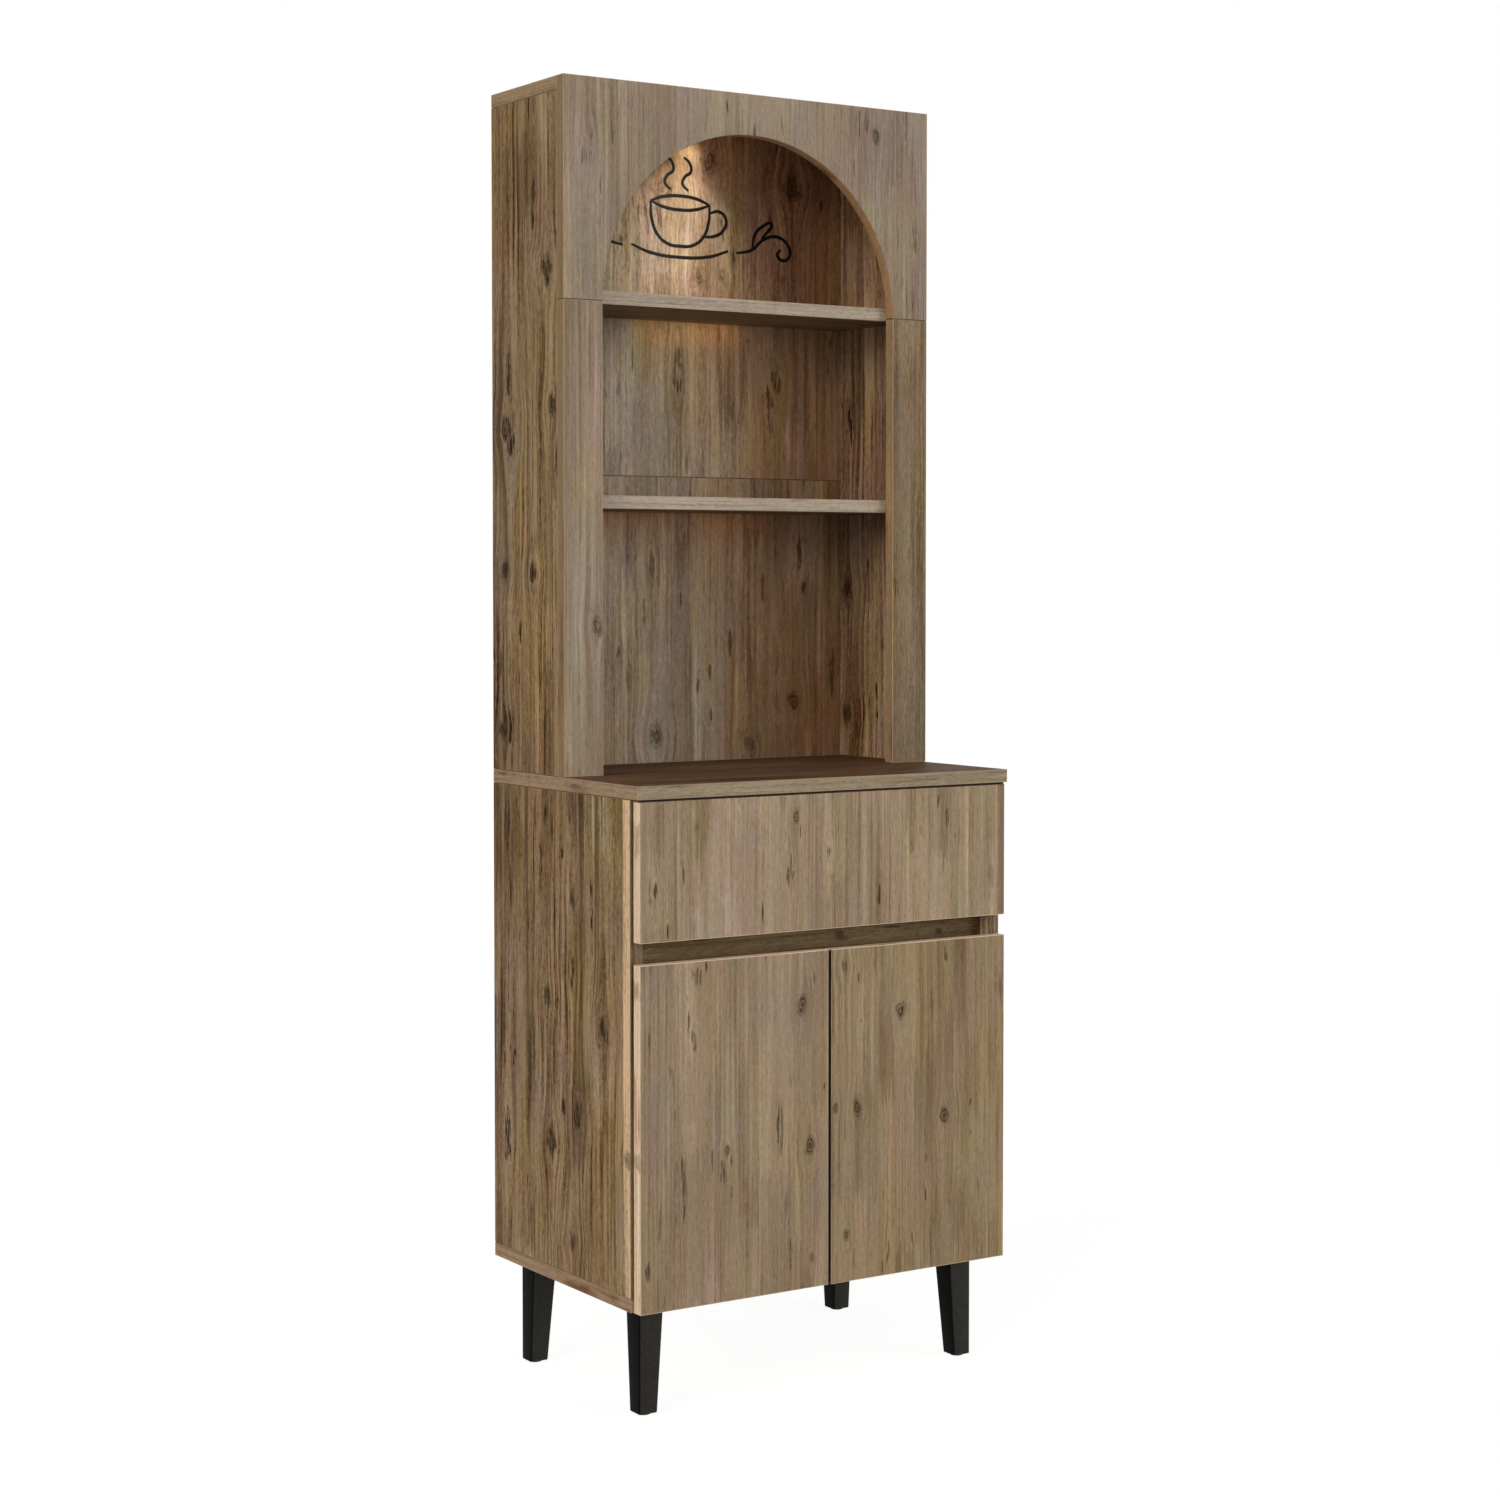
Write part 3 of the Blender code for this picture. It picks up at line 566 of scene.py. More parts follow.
# boards: lay, finish, seed, and marks as across, along, half width, half length, depth
boards = {
    "door_left": ("front", "front", 1, [
        knot(-45, 528, 7, 13, 95), crack(-210, 580, 6, 12, 65), crack(-200, 592, 2, 6, 90),
        crack(-223, 526, 1.8, 22, 95), crack(-215, 500, 4, 12, 70), knot(-163, 347, 3.6, 7, 90),
        crack(-158, 335, 2, 10, 80), crack(-170, 314, 4.5, 14, 75), crack(-158, 289, 3, 10, 90),
        knot(-31, 339, 7, 12, 95), crack(-83, 376, 2.5, 20, 90), crack(-79, 360, 1.6, 34, 65),
        crack(-233, 334, 1.6, 16, 80), crack(-230, 271, 2.2, 14, 80), crack(-231, 300, 1.5, 30, 60),
        crack(-285, 200, 3, 16, 90), crack(-63, 188, 2, 22, 70), crack(-9, 416, 1.8, 5, 100),
        crack(-27, 566, 1.8, 14, 75), crack(-186, 334, 2.5, 14, 60), crack(-108, 157, 2, 12, 65),
        knot(-29, 187, 3, 6, 65), crack(-297, 345, 2.6, 12, 75), crack(-297, 566, 1.8, 14, 70)]),
    "door_right": ("front", "front", 2, [
        knot(118, 508, 7.5, 13, 100), knot(46, 381, 6, 11, 95), knot(9, 385, 4.5, 7, 80),
        knot(192, 357, 7.5, 11, 100), crack(195, 579, 4, 8, 90), knot(28, 212, 4.5, 8, 90),
        crack(98, 175, 3, 12, 80), crack(161, 253, 1.8, 12, 85), crack(237, 330, 1.8, 7, 100),
        crack(237, 369, 1.8, 5, 95), crack(48, 560, 1.8, 10, 90), crack(53, 500, 1.8, 4, 100),
        crack(24, 575, 6, 8, 55), crack(138, 192, 2.2, 10, 70), crack(88, 160, 2, 10, 70),
        crack(282, 536, 2, 20, 65), crack(160, 310, 1.2, 55, 55)]),
    "drawer_front": ("front", "front", 3, [
        crack(-2, 732, 3.5, 8, 100), crack(-64, 706, 5, 15, 80), crack(-108, 656, 1.6, 12, 100),
        crack(82, 668, 2.5, 14, 95), crack(211, 747, 3, 10, 100), crack(-272, 697, 2.8, 10, 90),
        crack(-281, 690, 2.2, 16, 65), crack(-210, 777, 2.5, 10, 65), knot(-54, 780, 4.5, 10, 90),
        crack(-50, 764, 1.5, 12, 75), crack(196, 771, 2.8, 12, 85), crack(181, 794, 2, 12, 75),
        crack(-231, 716, 1.8, 12, 85), crack(-254, 642, 1.8, 8, 95), crack(135, 731, 2.5, 12, 75),
        crack(271, 698, 2, 30, 55), crack(-297, 765, 1.8, 24, 60)]),
    "arch_header": ("front", "frame", 4, [
        crack(-258, 1682, 4, 16, 80), crack(-267, 1668, 6, 18, 60), crack(-225, 1690, 1.6, 14, 80),
        crack(-243, 1626, 1.8, 12, 90), crack(-44, 1748, 3, 14, 95), crack(138, 1733, 1.4, 24, 80),
        crack(181, 1745, 1.8, 18, 85), knot(210, 1723, 6, 11, 90), crack(194, 1742, 5, 14, 55),
        crack(278, 1592, 4, 30, 65), crack(262, 1745, 2, 40, 60), crack(4, 1713, 2.2, 8, 80)]),
    "stile_left": ("front", "frame", 5, [knot(-249, 1034, 7, 13, 72)]),
    "stile_right": ("front", "frame", 6, [crack(285, 1200, 3, 30, 68)]),
    "back_lower": ("front", "back", 7, [
        crack(-49, 1115, 5, 16, 90), crack(-60, 1047, 4, 14, 60), knot(-41, 870, 10, 16, 90),
        knot(120, 853, 7, 9, 85), knot(197, 916, 8, 12, 100), crack(208, 1138, 7, 20, 100),
        crack(215, 1086, 4, 10, 100), crack(85, 1002, 2.5, 16, 90), crack(50, 963, 2.2, 10, 90),
        crack(31, 941, 3, 10, 90), crack(52, 900, 2, 12, 85), crack(142, 1083, 2, 24, 80),
        crack(267, 951, 3, 30, 90), crack(1, 1068, 2, 12, 90), crack(-104, 994, 2.5, 12, 90)]),
    "back_upper": ("front", "back", 8, [
        crack(-4, 1402, 5.5, 24, 90), crack(-4, 1378, 3.5, 10, 100), crack(163, 1389, 9, 15, 100),
        crack(154, 1369, 6, 12, 100), crack(156, 1330, 3, 36, 85), crack(118, 1438, 2, 12, 100),
        crack(-80, 1422, 2, 30, 85), crack(264, 1452, 2.5, 10, 100), knot(49, 1700, 10, 18, 100),
        knot(-30, 1654, 12, 14, 80), knot(195, 1675, 14, 18, 100), crack(239, 1651, 3, 8, 100),
        knot(31, 1535, 6, 10, 80), knot(72, 1537, 5, 9, 70)]),
    "base_side_left": ("side", "side", 10, [
        eye(44, 530, 8, 13, 100), eye(-109, 508, 10, 18, 80), crack(61, 711, 4, 30, 90),
        crack(49, 780, 4, 18, 80), crack(2, 731, 3, 8, 80), crack(159, 319, 8, 35, 80),
        eye(33, 337, 12, 20, 75), eye(-38, 383, 9, 20, 75), crack(-1, 387, 6, 10, 90),
        eye(-25, 210, 8, 13, 85), crack(-24, 572, 6, 20, 70), crack(-29, 675, 6, 20, 60),
        crack(-78, 664, 3, 40, 80), eye(-170, 345, 6, 12, 60)]),
    "base_side_right": ("side", "side", 11, [
        eye(-70, 620, 9, 15, 85), eye(90, 440, 11, 18, 80), crack(20, 520, 4, 30, 80),
        crack(-120, 330, 5, 28, 75), eye(130, 240, 8, 13, 85), crack(55, 730, 4, 20, 80)]),
    "hutch_side_left": ("side", "side", 12, [
        eye(40, 1511, 12, 18, 90), eye(27, 1328, 9, 14, 85), crack(147, 1373, 6, 30, 80),
        eye(155, 1304, 12, 16, 85), crack(147, 1278, 5, 20, 80), eye(162, 1108, 8, 13, 90),
        eye(81, 1103, 9, 14, 80), crack(11, 1261, 6, 25, 80), eye(170, 887, 9, 14, 85),
        crack(3, 1058, 4, 20, 70), crack(78, 1602, 5, 35, 80)]),
    "hutch_side_right": ("side", "side", 13, [
        crack(158, 1322, 6, 30, 80), eye(166, 1080, 10, 14, 90), eye(165, 894, 10, 13, 90),
        eye(70, 1600, 10, 16, 80), crack(60, 1180, 5, 30, 80)]),
    "base_back": ("front", "back", 9, []),
    "worktop": ("flat", "top", 14, [
        knot(-120, 170, 10, 22, 80), crack(-150, -120, 4, 40, 70), crack(827, 170, 1, 14, 100),
        crack(827, 140, 0.9, 10, 100), crack(827.5, 73, 1.4, 6, 100), crack(826, 94, 0.8, 6, 90),
        knot(821.5, -30, 3.5, 14, 90), crack(820, -125, 1.2, 22, 80)]),
    "base_bottom": ("flat", "sill", 15, []),
    "hutch_top": ("flat", "top", 19, []),
    "inner_shelf": ("flat", "shelf", 16, []),
    "shelf_upper": ("flat", "shelf", 17, []),
    "shelf_lower": ("flat", "shelf", 18, []),
    "handle_rail": ("rail", "rail", 20, [
        knot(612, 45, 5, 8, 100), knot(606, 213, 3.5, 5, 100), crack(622, -180, 1.8, 20, 90),
        crack(618, 130, 1.6, 24, 80)]),
}

# what single boards have besides their finish; seams, dark lines of painted shade along joints, as axis,
# level, half width and depth
jointLine = (0.0012, 0.62)
baseSideExtras = {"paleFront": (-0.1605, (0.78, 0.57, 0.37)),
                  "seams": [(2, 0.1650, *jointLine), (2, 0.8132, *jointLine), (1, -0.1776, 0.0011, 0.65)],
                  "tone": (1.12, 1.17, 1.25)}
hutchSideSeams = [(2, 1.7478, *jointLine), (2, 0.8314, *jointLine)]
frameSeam = [(2, 1.4692, *jointLine)]
extras = {
    "base_side_left": baseSideExtras,
    "base_side_right": baseSideExtras,
    "hutch_side_left": {"seams": hutchSideSeams},
    "hutch_side_right": {"seams": hutchSideSeams, "tone": (1.44, 1.46, 1.74)},
    # the doors' inner edges and the drawer front's top edge get a painted shade line where they face a gap
    "door_left": {"glueLine": (0, -0.0015), "tone": (0.892, 0.854, 0.852)},
    "door_right": {"glueLine": (0, 0.0015), "tone": (0.901, 0.863, 0.779)},
    # the drawer front's seam paints the worktop's shadow just under its top edge
    "drawer_front": {"glueLine": (2, 0.8113), "seams": [(2, 0.8107, 0.0006, 0.9)],
                     "tone": (1.05, 1.05, 1.06)},
    "arch_header": {"band": (0.45, 0.29, 0.163), "seams": frameSeam,
                    "sweep": [(0.0, (1.03, 1.03, 1.02)), (1.0, (0.91, 0.93, 0.95))]},
    "stile_left": {"seams": frameSeam},
    "stile_right": {"seams": frameSeam, "tone": (0.66, 0.61, 0.50), "contrast": 1.3, "lines": 1.2},
    "hutch_top": {"endBand": (0.37, 0.275, 0.165)},
    # the back panels' sweeps are painted light: paler and cooler at the left, darker in the middle, warmer at
    # the right where the sides shade them and the wood bounces warm light
    "back_lower": {"plainBack": True, "sweep": [(0.13, (1.28, 1.47, 1.78)), (0.50, (0.89, 0.93, 1.03)),
                                                (0.83, (1.12, 0.98, 0.92))]},
    "back_upper": {"plainBack": True, "sweep": [(0.13, (1.22, 1.47, 1.92)), (0.50, (1.00, 1.12, 1.26)),
                                                (0.83, (1.17, 0.98, 0.94))],
                   # above the upper shelf, in the lamp-lit niche, the tint is painted darker and redder as
                   # warm shade
                   "lively": (1.474, 1.4, (0.92, 0.84, 0.78))},
    "base_back": {"plainBack": True},
}

pineMaterials = {}
for nodeName, (lay, finish, seed, marks) in boards.items():
    look = {**finishes[finish], **extras.get(nodeName, {})}
    pineMaterials[nodeName] = pineBoard(nodeName, lay, seed, marks, **look)
    nodes[nodeName].material_slots[0].material = pineMaterials[nodeName]
print("pine boards finished:", len(boards))


# other finishes

def plainFinish(name, dark, light, scale, rough, bumpHeight, metallic=0.0, specular=0.5):
    # a mottled finish: colour between two tones, roughness and bump from the same grain
    material, tree, shader = newMaterial(name)
    mottle = noise(spot(tree), 3.0, scale=scale)
    fine = noise(spot(tree), 1.0, scale=scale * 4)
    dress(shader, {"Base Color": ramp(mottle, [(0.3, dark), (0.7, light)]), "Metallic": metallic,
                   "Roughness": spread(mottle, 0.25, 0.75, *rough), "Specular IOR Level": specular},
          (fine, 0.2, bumpHeight))
    return material


def linenFinish(name, dark, light, threads):
    # drawer box board: a pale print of fine crossing threads
    material, tree, shader = newMaterial(name)
    thread = 1.0
    for stretch in threads:
        thread = thread * (noise(spot(tree) * stretch, 2.0) * 0.5 + 0.75)
    dress(shader, {"Base Color": ramp(thread, [(0.8, dark), (1.0, light)]), "Roughness": 0.5},
          (thread, 0.15, 0.0002))
    return material


def lensFinish(name, color, strength, middle, radius):
    # frosted warm lens, brightest in its middle
    material, tree, shader = newMaterial(name)
    far = length((spot(tree) - middle) * (1, 1, 0))
    dress(shader, {"Base Color": color, "Emission Color": color, "Roughness": 0.45,
                   "Emission Strength": spread(far, 0.0, radius, strength, strength * 0.4)})
    return material


def shadedLacquerFinish(name, sideColor, litFrontColor, sideSheen, frontSheen):
    # black lacquer, coloured by the way each face turns: faces towards the sides darker with less sheen as
    # painted shade, faces towards the front and back paler with more sheen as painted reflection
    material, tree, shader = newMaterial(name)
    sideways = spread(abs(split(spot(tree, "Normal"))[0]), 0.4, 0.9)
    mottle = noise(spot(tree), 3.0, scale=240)
    color = blendColor('MIX', sideways, litFrontColor, sideColor) * spread(mottle, 0.3, 0.7, 0.8, 1.2)
    dress(shader, {"Base Color": color, "Roughness": spread(mottle, 0.25, 0.75, 0.32, 0.45),
                   "Specular IOR Level": spread(sideways, 0.0, 1.0, frontSheen, sideSheen)},
          (noise(spot(tree), 1.0, scale=960), 0.2, 0.0001))
    return material


# plain finishes: darker and lighter tone, scale of the mottle, roughness, bump, metallic, specular
plainLooks = {
    "glidePlastic": ((0.014, 0.014, 0.014), (0.022, 0.022, 0.022), 900, (0.55, 0.7), 0.0001),
    "zincSteel": ((0.52, 0.53, 0.55), (0.64, 0.645, 0.65), 420, (0.26, 0.4), 0.00005, 1.0),
    "lampPlastic": ((0.66, 0.65, 0.62), (0.74, 0.73, 0.70), 700, (0.35, 0.5), 0.00005),
    "bufferPlastic": ((0.50, 0.50, 0.48), (0.60, 0.60, 0.58), 600, (0.2, 0.35), 0.00005),
    "motifBlack": ((0.005, 0.005, 0.005), (0.009, 0.008, 0.007), 800, (0.5, 0.65), 0.0001, 0.0, 0.1),
    "capBrown": ((0.19, 0.13, 0.08), (0.235, 0.165, 0.105), 300, (0.4, 0.55), 0.00005),
    "jointBrown": ((0.030, 0.019, 0.012), (0.045, 0.029, 0.018), 500, (0.5, 0.6), 0.0001),
    # near black for the strips that stand in the gaps as painted shade
    "gapShadeBlack": ((0.009, 0.006, 0.0045), (0.014, 0.0095, 0.007), 700, (0.7, 0.85), 0.0001, 0.0, 0.05),
}
looks = {name: plainFinish(name, *look) for name, look in plainLooks.items()}
# the legs' side faces take the darker colour as painted shade, their front and back faces the paler one as
# painted reflection
looks["blackLacquer"] = shadedLacquerFinish("blackLacquer", (0.003, 0.003, 0.003), (0.021, 0.019, 0.0155),
                                      0.02, 0.13)
looks["drawerLinen"] = linenFinish("drawerLinen", (0.40, 0.35, 0.28), (0.62, 0.56, 0.47),
                                   ((900, 40, 900), (40, 900, 40)))
looks["lampLens"] = lensFinish("lampLens", (1.0, 0.78, 0.48), 4.0, (0.0, 0.082, 0.0), 0.03)

plainNodes = {
    "leg_bolt": "zincSteel", "leg_glide": "glidePlastic", "shelf_pin": "zincSteel", "runner": "zincSteel",
    "hinge": "zincSteel", "drawer_side": "drawerLinen", "drawer_inner": "drawerLinen",
    "drawer_back": "drawerLinen", "drawer_bottom": "drawerLinen", "lamp_housing": "lampPlastic",
    "lamp_lens": "lampLens", "leg_front": "blackLacquer", "leg_rear": "blackLacquer",
}
for nodeName, node in nodes.items():
    for start, finish in plainNodes.items():
        if nodeName.startswith(start):
            node.material_slots[0].material = looks[finish]
print("other finishes set")


# modelling helpers

def clearPick():
    if bpy.context.object and bpy.context.object.mode != 'OBJECT':
        bpy.ops.object.mode_set(mode='OBJECT')
    bpy.ops.object.select_all(action='DESELECT')


def choose(*pieces):
    clearPick()
    for piece in pieces:
        piece.select_set(True)
    bpy.context.view_layer.objects.active = pieces[0]


def fixPlace():
    bpy.ops.object.transform_apply(location=True, rotation=True, scale=True)
    return bpy.context.object


def middleOf(low, high):
    return [(a + b) / 2 for a, b in zip(low, high)]


def settle(piece, name, finish):
    # place and scale go into the mesh, so the object sits at the origin
    choose(piece)
    fixPlace()
    piece.name = name
    piece.data.name = name
    piece.data.materials.clear()
    piece.data.materials.append(finish)
    return piece


def startBlock(low, high):
    clearPick()
    bpy.ops.mesh.primitive_cube_add(size=1, location=middleOf(low, high))
    bpy.context.object.scale = [b - a for a, b in zip(low, high)]
    return fixPlace()


def startRod(middle, radius, depth, steps=64, turn=(0, 0, 0)):
    clearPick()
    bpy.ops.mesh.primitive_cylinder_add(vertices=steps, radius=radius, depth=depth, location=middle,
                                        rotation=[math.radians(angle) for angle in turn])
    return fixPlace()


def pick(piece, kind, test):
    # into edit mode with the faces, edges or points that pass the test selected
    choose(piece)
    bpy.ops.object.mode_set(mode='EDIT')
    bpy.ops.mesh.select_mode(type=kind)
    bpy.ops.mesh.select_all(action='DESELECT')
    bpy.ops.object.mode_set(mode='OBJECT')
    mesh = piece.data
    if kind == 'FACE':
        for face in mesh.polygons:
            face.select = test(face.center, face.normal)
    elif kind == 'EDGE':
        for edge in mesh.edges:
            first, last = (mesh.vertices[index].co for index in edge.vertices)
            edge.select = test((first + last) / 2, (last - first).normalized())
    else:
        for point in mesh.vertices:
            point.select = test(point.co)
    bpy.ops.object.mode_set(mode='EDIT')


def leaveEdit():
    bpy.ops.object.mode_set(mode='OBJECT')


def roundEdges(piece, test, width, segments):
    pick(piece, 'EDGE', test)
    bpy.ops.mesh.bevel(offset=width, segments=segments, affect='EDGES')
    leaveEdit()


def sinkFace(piece, test, rim, sink):
    pick(piece, 'FACE', test)
    bpy.ops.mesh.inset(thickness=rim)
    bpy.ops.mesh.extrude_region_move(TRANSFORM_OT_translate={"value": (0, 0, sink)})
    leaveEdit()


def startDome(middle, radius, height, steps, cut, upward):
    # half of a flattened ball, cut level just inside its widest ring
    clearPick()
    bpy.ops.mesh.primitive_uv_sphere_add(segments=steps, ring_count=steps // 2, radius=radius,
                                         location=middle)
    bpy.context.object.scale = (1, 1, height / radius)
    dome = fixPlace()
    pick(dome, 'FACE', lambda place, facing: True)
    bpy.ops.mesh.bisect(plane_co=(0, 0, cut), plane_no=(0, 0, 1), use_fill=True, clear_inner=upward,
                        clear_outer=not upward)
    leaveEdit()
    return dome


def applyModifier(piece, kind, **settings):
    choose(piece)
    change = piece.modifiers.new("change", kind)
    for key, value in settings.items():
        setattr(change, key, value)
    bpy.ops.object.modifier_apply(modifier=change.name)


def ease(piece, width, segments=2, angle=35):
    applyModifier(piece, 'BEVEL', width=width, segments=segments, limit_method='ANGLE',
                  angle_limit=math.radians(angle), harden_normals=False)


def carve(piece, cutter, how='DIFFERENCE'):
    applyModifier(piece, 'BOOLEAN', operation=how, solver='EXACT', object=cutter)
    bpy.data.objects.remove(cutter, do_unlink=True)


def smooth(piece, angle=30):
    choose(piece)
    bpy.ops.object.shade_smooth_by_angle(angle=math.radians(angle))


def joinPieces(pieces):
    choose(*pieces)
    bpy.ops.object.join()
    return pieces[0]


def copyPiece(piece, move=(0, 0, 0), turn=0, axis='Z', centre=(0, 0, 0)):
    # a copy with its own mesh, turned about a line through a point, then moved
    choose(piece)
    bpy.ops.object.duplicate(linked=False)
    about = Matrix.Translation(centre) @ Matrix.Rotation(math.radians(turn), 4, axis)
    back = Matrix.Translation([-value for value in centre])
    bpy.context.object.matrix_world = Matrix.Translation(move) @ about @ back
    return fixPlace()


# arch header: a board with a true half-round cut and eased edges

archCut = {"radius": 0.240, "steps": 256, "through": 0.06, "ease": 0.0007}


def makeArchHeader(look):
    low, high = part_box("arch_header")
    header = startBlock(low, high)
    middle = (0, (low[1] + high[1]) / 2, low[2])
    carve(header, startRod(middle, look["radius"], look["through"], look["steps"], (90, 0, 0)))
    ease(header, look["ease"])
    settle(header, "archHeader", pineMaterials["arch_header"])
    smooth(header)
    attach(header, "cabinet")
    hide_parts("arch_header")


makeArchHeader(archCut)
print("arch header made")


# legs: square, upright outside and tapered inside, soft edges

legShape = {"foot": 0.0273 / 0.037, "round": 0.003, "footEase": 0.0012}


def makeLegs(look):
    low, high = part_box("leg_front_left")
    middle = middleOf(low, high)
    leg = startBlock(low, high)
    pick(leg, 'VERT', lambda point: point.z < middle[2])
    bpy.ops.transform.resize(value=(look["foot"], look["foot"], 1), center_override=(low[0], low[1], low[2]))
    leaveEdit()
    roundEdges(leg, lambda place, along: abs(along.z) > 0.9, look["round"], 6)
    roundEdges(leg, lambda place, along: place.z < low[2] + 0.0005, look["footEase"], 3)
    legs = {"front_left": leg}
    for place, turn in (("front_right", 90), ("rear_right", 180), ("rear_left", 270)):
        move = [a - b for a, b in zip(middleOf(*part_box("leg_" + place)), middle)]
        legs[place] = copyPiece(leg, move, turn, 'Z', middle)
    for place, piece in legs.items():
        settle(piece, "leg." + place, looks["blackLacquer"])
        smooth(piece, 40)
        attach(piece, "cabinet")
        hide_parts("leg_" + place)


makeLegs(legShape)
print("legs made")


# lamp under the hutch top: a shallow ring with a domed lens, and its light

nicheLamp = {
    "rim": 0.0042,
    "recess": 0.0040,
    "ease": 0.0012,
    "lensCut": 0.0001,
    "beams": {     # place, aim, angle in degrees, blend, power, colour
        "nicheBeam": ((-0.015, 0.085, 1.732), (-0.008, 0.185, 1.585), 80, 0.95, 2.2, (1.0, 1.0, 0.92)),
        "nicheCore": ((-0.015, 0.085, 1.732), (-0.012, 0.185, 1.4845), 43, 1.0, 3.0, (1.0, 0.98, 0.88)),
        "nicheCrest": ((0.013, 0.150, 1.722), (0.013, 0.185, 1.695), 100, 1.0, 0.14, (1.0, 0.90, 0.62)),
        "nicheGlow": ((-0.010, 0.085, 1.731), (0.050, 0.185, 1.62), 160, 0.8, 0.19, (1.0, 0.56, 0.30)),
    },
    "beamSize": 0.012,
    "leaks": {     # what passes behind the shelves: place, aim, length, power, colour
        "upperLeak": ((0.01, 0.154, 1.4640), (0.01, 0.185, 1.418), 0.17, 0.030, (1.0, 0.66, 0.30)),
        "lowerLeak": ((-0.03, 0.155, 1.1890), (-0.03, 0.185, 1.140), 0.36, 0.016, (1.0, 0.50, 0.16)),
    },
    "leakWidth": 0.006,
}


def addBeam(name, kind, place, target, power, color):
    aim = Vector(target) - Vector(place)
    clearPick()
    bpy.ops.object.light_add(type=kind, location=place, rotation=aim.to_track_quat('-Z', 'Y').to_euler())
    lamp = bpy.context.object
    lamp.name = name
    lamp.visible_camera = False
    lamp.data.energy = power
    lamp.data.color = color
    return lamp.data


def makeLamp(look):
    low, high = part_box("lamp_housing")
    middle = middleOf(low, high)
    housing = startRod(middle, (high[0] - low[0]) / 2, high[2] - low[2], 96)
    sinkFace(housing, lambda place, facing: facing.z < -0.9, look["rim"], look["recess"])
    ease(housing, look["ease"], 3)
    settle(housing, "lampHousing", looks["lampPlastic"])
    smooth(housing)
    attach(housing, "cabinet")
    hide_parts("lamp_housing")

    low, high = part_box("lamp_lens")
    lens = startDome((middle[0], middle[1], high[2]), (high[0] - low[0]) / 2, high[2] - low[2], 64,
                     high[2] - look["lensCut"], False)
    settle(lens, "lampLens", looks["lampLens"])
    smooth(lens, 40)
    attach(lens, "cabinet")
    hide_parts("lamp_lens")

    for name, (place, target, angle, blend, power, color) in look["beams"].items():
        light = addBeam(name, 'SPOT', place, target, power, color)
        light.spot_size = math.radians(angle)
        light.spot_blend = blend
        light.shadow_soft_size = look["beamSize"]
    for name, (place, target, reach, power, color) in look["leaks"].items():
        light = addBeam(name, 'AREA', place, target, power, color)
        light.shape = 'RECTANGLE'
        light.size, light.size_y = reach, look["leakWidth"]


makeLamp(nicheLamp)
print("lamp made")


# strip that joins the two back panels from behind

panelJoint = {"width": 0.016, "thick": 0.0012, "ends": 0.008, "play": 0.0001, "ease": 0.0004}


def makePanelJoint(look):
    low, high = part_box("back_lower")
    seam = (high[2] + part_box("back_upper")[0][2]) / 2
    strip = startBlock((low[0] + look["ends"], high[1] + look["play"], seam - look["width"] / 2),
                       (high[0] - look["ends"], high[1] + look["thick"], seam + look["width"] / 2))
    ease(strip, look["ease"])
    settle(strip, "panelJoint", looks["jointBrown"])
    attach(strip, "cabinet")


makePanelJoint(panelJoint)


# drawn motif on the back of the niche: a cup on its saucer, steam, and a curl on each side

nicheMotif = {
    "middle": (0.0, 1.618),
    "stroke": 0.0026,
    "thinEnd": 0.7,
    "proud": 0.14,        # how much of a stroke's roundness is left
    "strokes": {          # points in millimetres, across and up from the motif's middle
        "cup": [(-50, 20), (-48, -6), (-38, -28), (-20, -40), (0, -42), (20, -40), (38, -28), (48, -6),
                (50, 20)],
        "rimFront": [(-50, 20), (-30, 13), (0, 10), (30, 13), (50, 20)],
        "rimBack": [(-50, 20), (-30, 27), (0, 30), (30, 27), (50, 20)],
        "handle": [(49, 8), (66, 12), (78, 2), (74, -14), (58, -24), (40, -26)],
        "saucer": [(-82, -44), (-50, -54), (0, -58), (50, -54), (82, -44)],
        "steamLeft": [(-16, 38), (-26, 48), (-22, 58), (-12, 66), (-14, 78), (-24, 86)],
        "steamRight": [(14, 38), (4, 48), (8, 58), (18, 66), (16, 78), (6, 86)],
        "curl": [(96, -46), (122, -40), (146, -22), (168, -18), (186, -28), (190, -44), (178, -52),
                 (168, -44), (174, -36)],
        "leaf": [(124, -38), (128, -18), (142, -4), (158, 0), (152, -10), (140, -22)],
    },
    "mirrored": ("curl", "leaf"),
}


def makeMotif(look):
    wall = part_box("back_upper")[0][1]
    clearPick()
    bpy.ops.curve.primitive_bezier_curve_add(location=(0, 0, 0))
    drawing = bpy.context.object
    curve = drawing.data
    curve.splines.clear()
    strokes = list(look["strokes"].values())
    strokes += [[(-across, up) for across, up in look["strokes"][key]] for key in look["mirrored"]]
    for stroke in strokes:
        spline = curve.splines.new('BEZIER')
        spline.bezier_points.add(len(stroke) - 1)
        spline.resolution_u = 10
        for index, (point, (across, up)) in enumerate(zip(spline.bezier_points, stroke)):
            point.co = (look["middle"][0] + across / 1000, 0, look["middle"][1] + up / 1000)
            point.handle_left_type = 'AUTO'
            point.handle_right_type = 'AUTO'
            atEnd = index in (0, len(stroke) - 1)
            point.radius = look["thinEnd"] if atEnd else 1.0
    curve.dimensions = '3D'
    curve.bevel_depth = look["stroke"]
    curve.bevel_resolution = 3
    curve.use_fill_caps = True
    bpy.ops.object.convert(target='MESH')
    drawing = bpy.context.object
    drawing.scale = (1, look["proud"], 1)
    drawing.location = (0, wall, 0)
    settle(drawing, "nicheMotif", looks["motifBlack"])
    smooth(drawing, 60)
    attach(drawing, "cabinet")


makeMotif(nicheMotif)
print("niche motif and panel joint made")


# cup hinges: the cup and its flange sit in the door, the cranked arm on its winged plate on the side

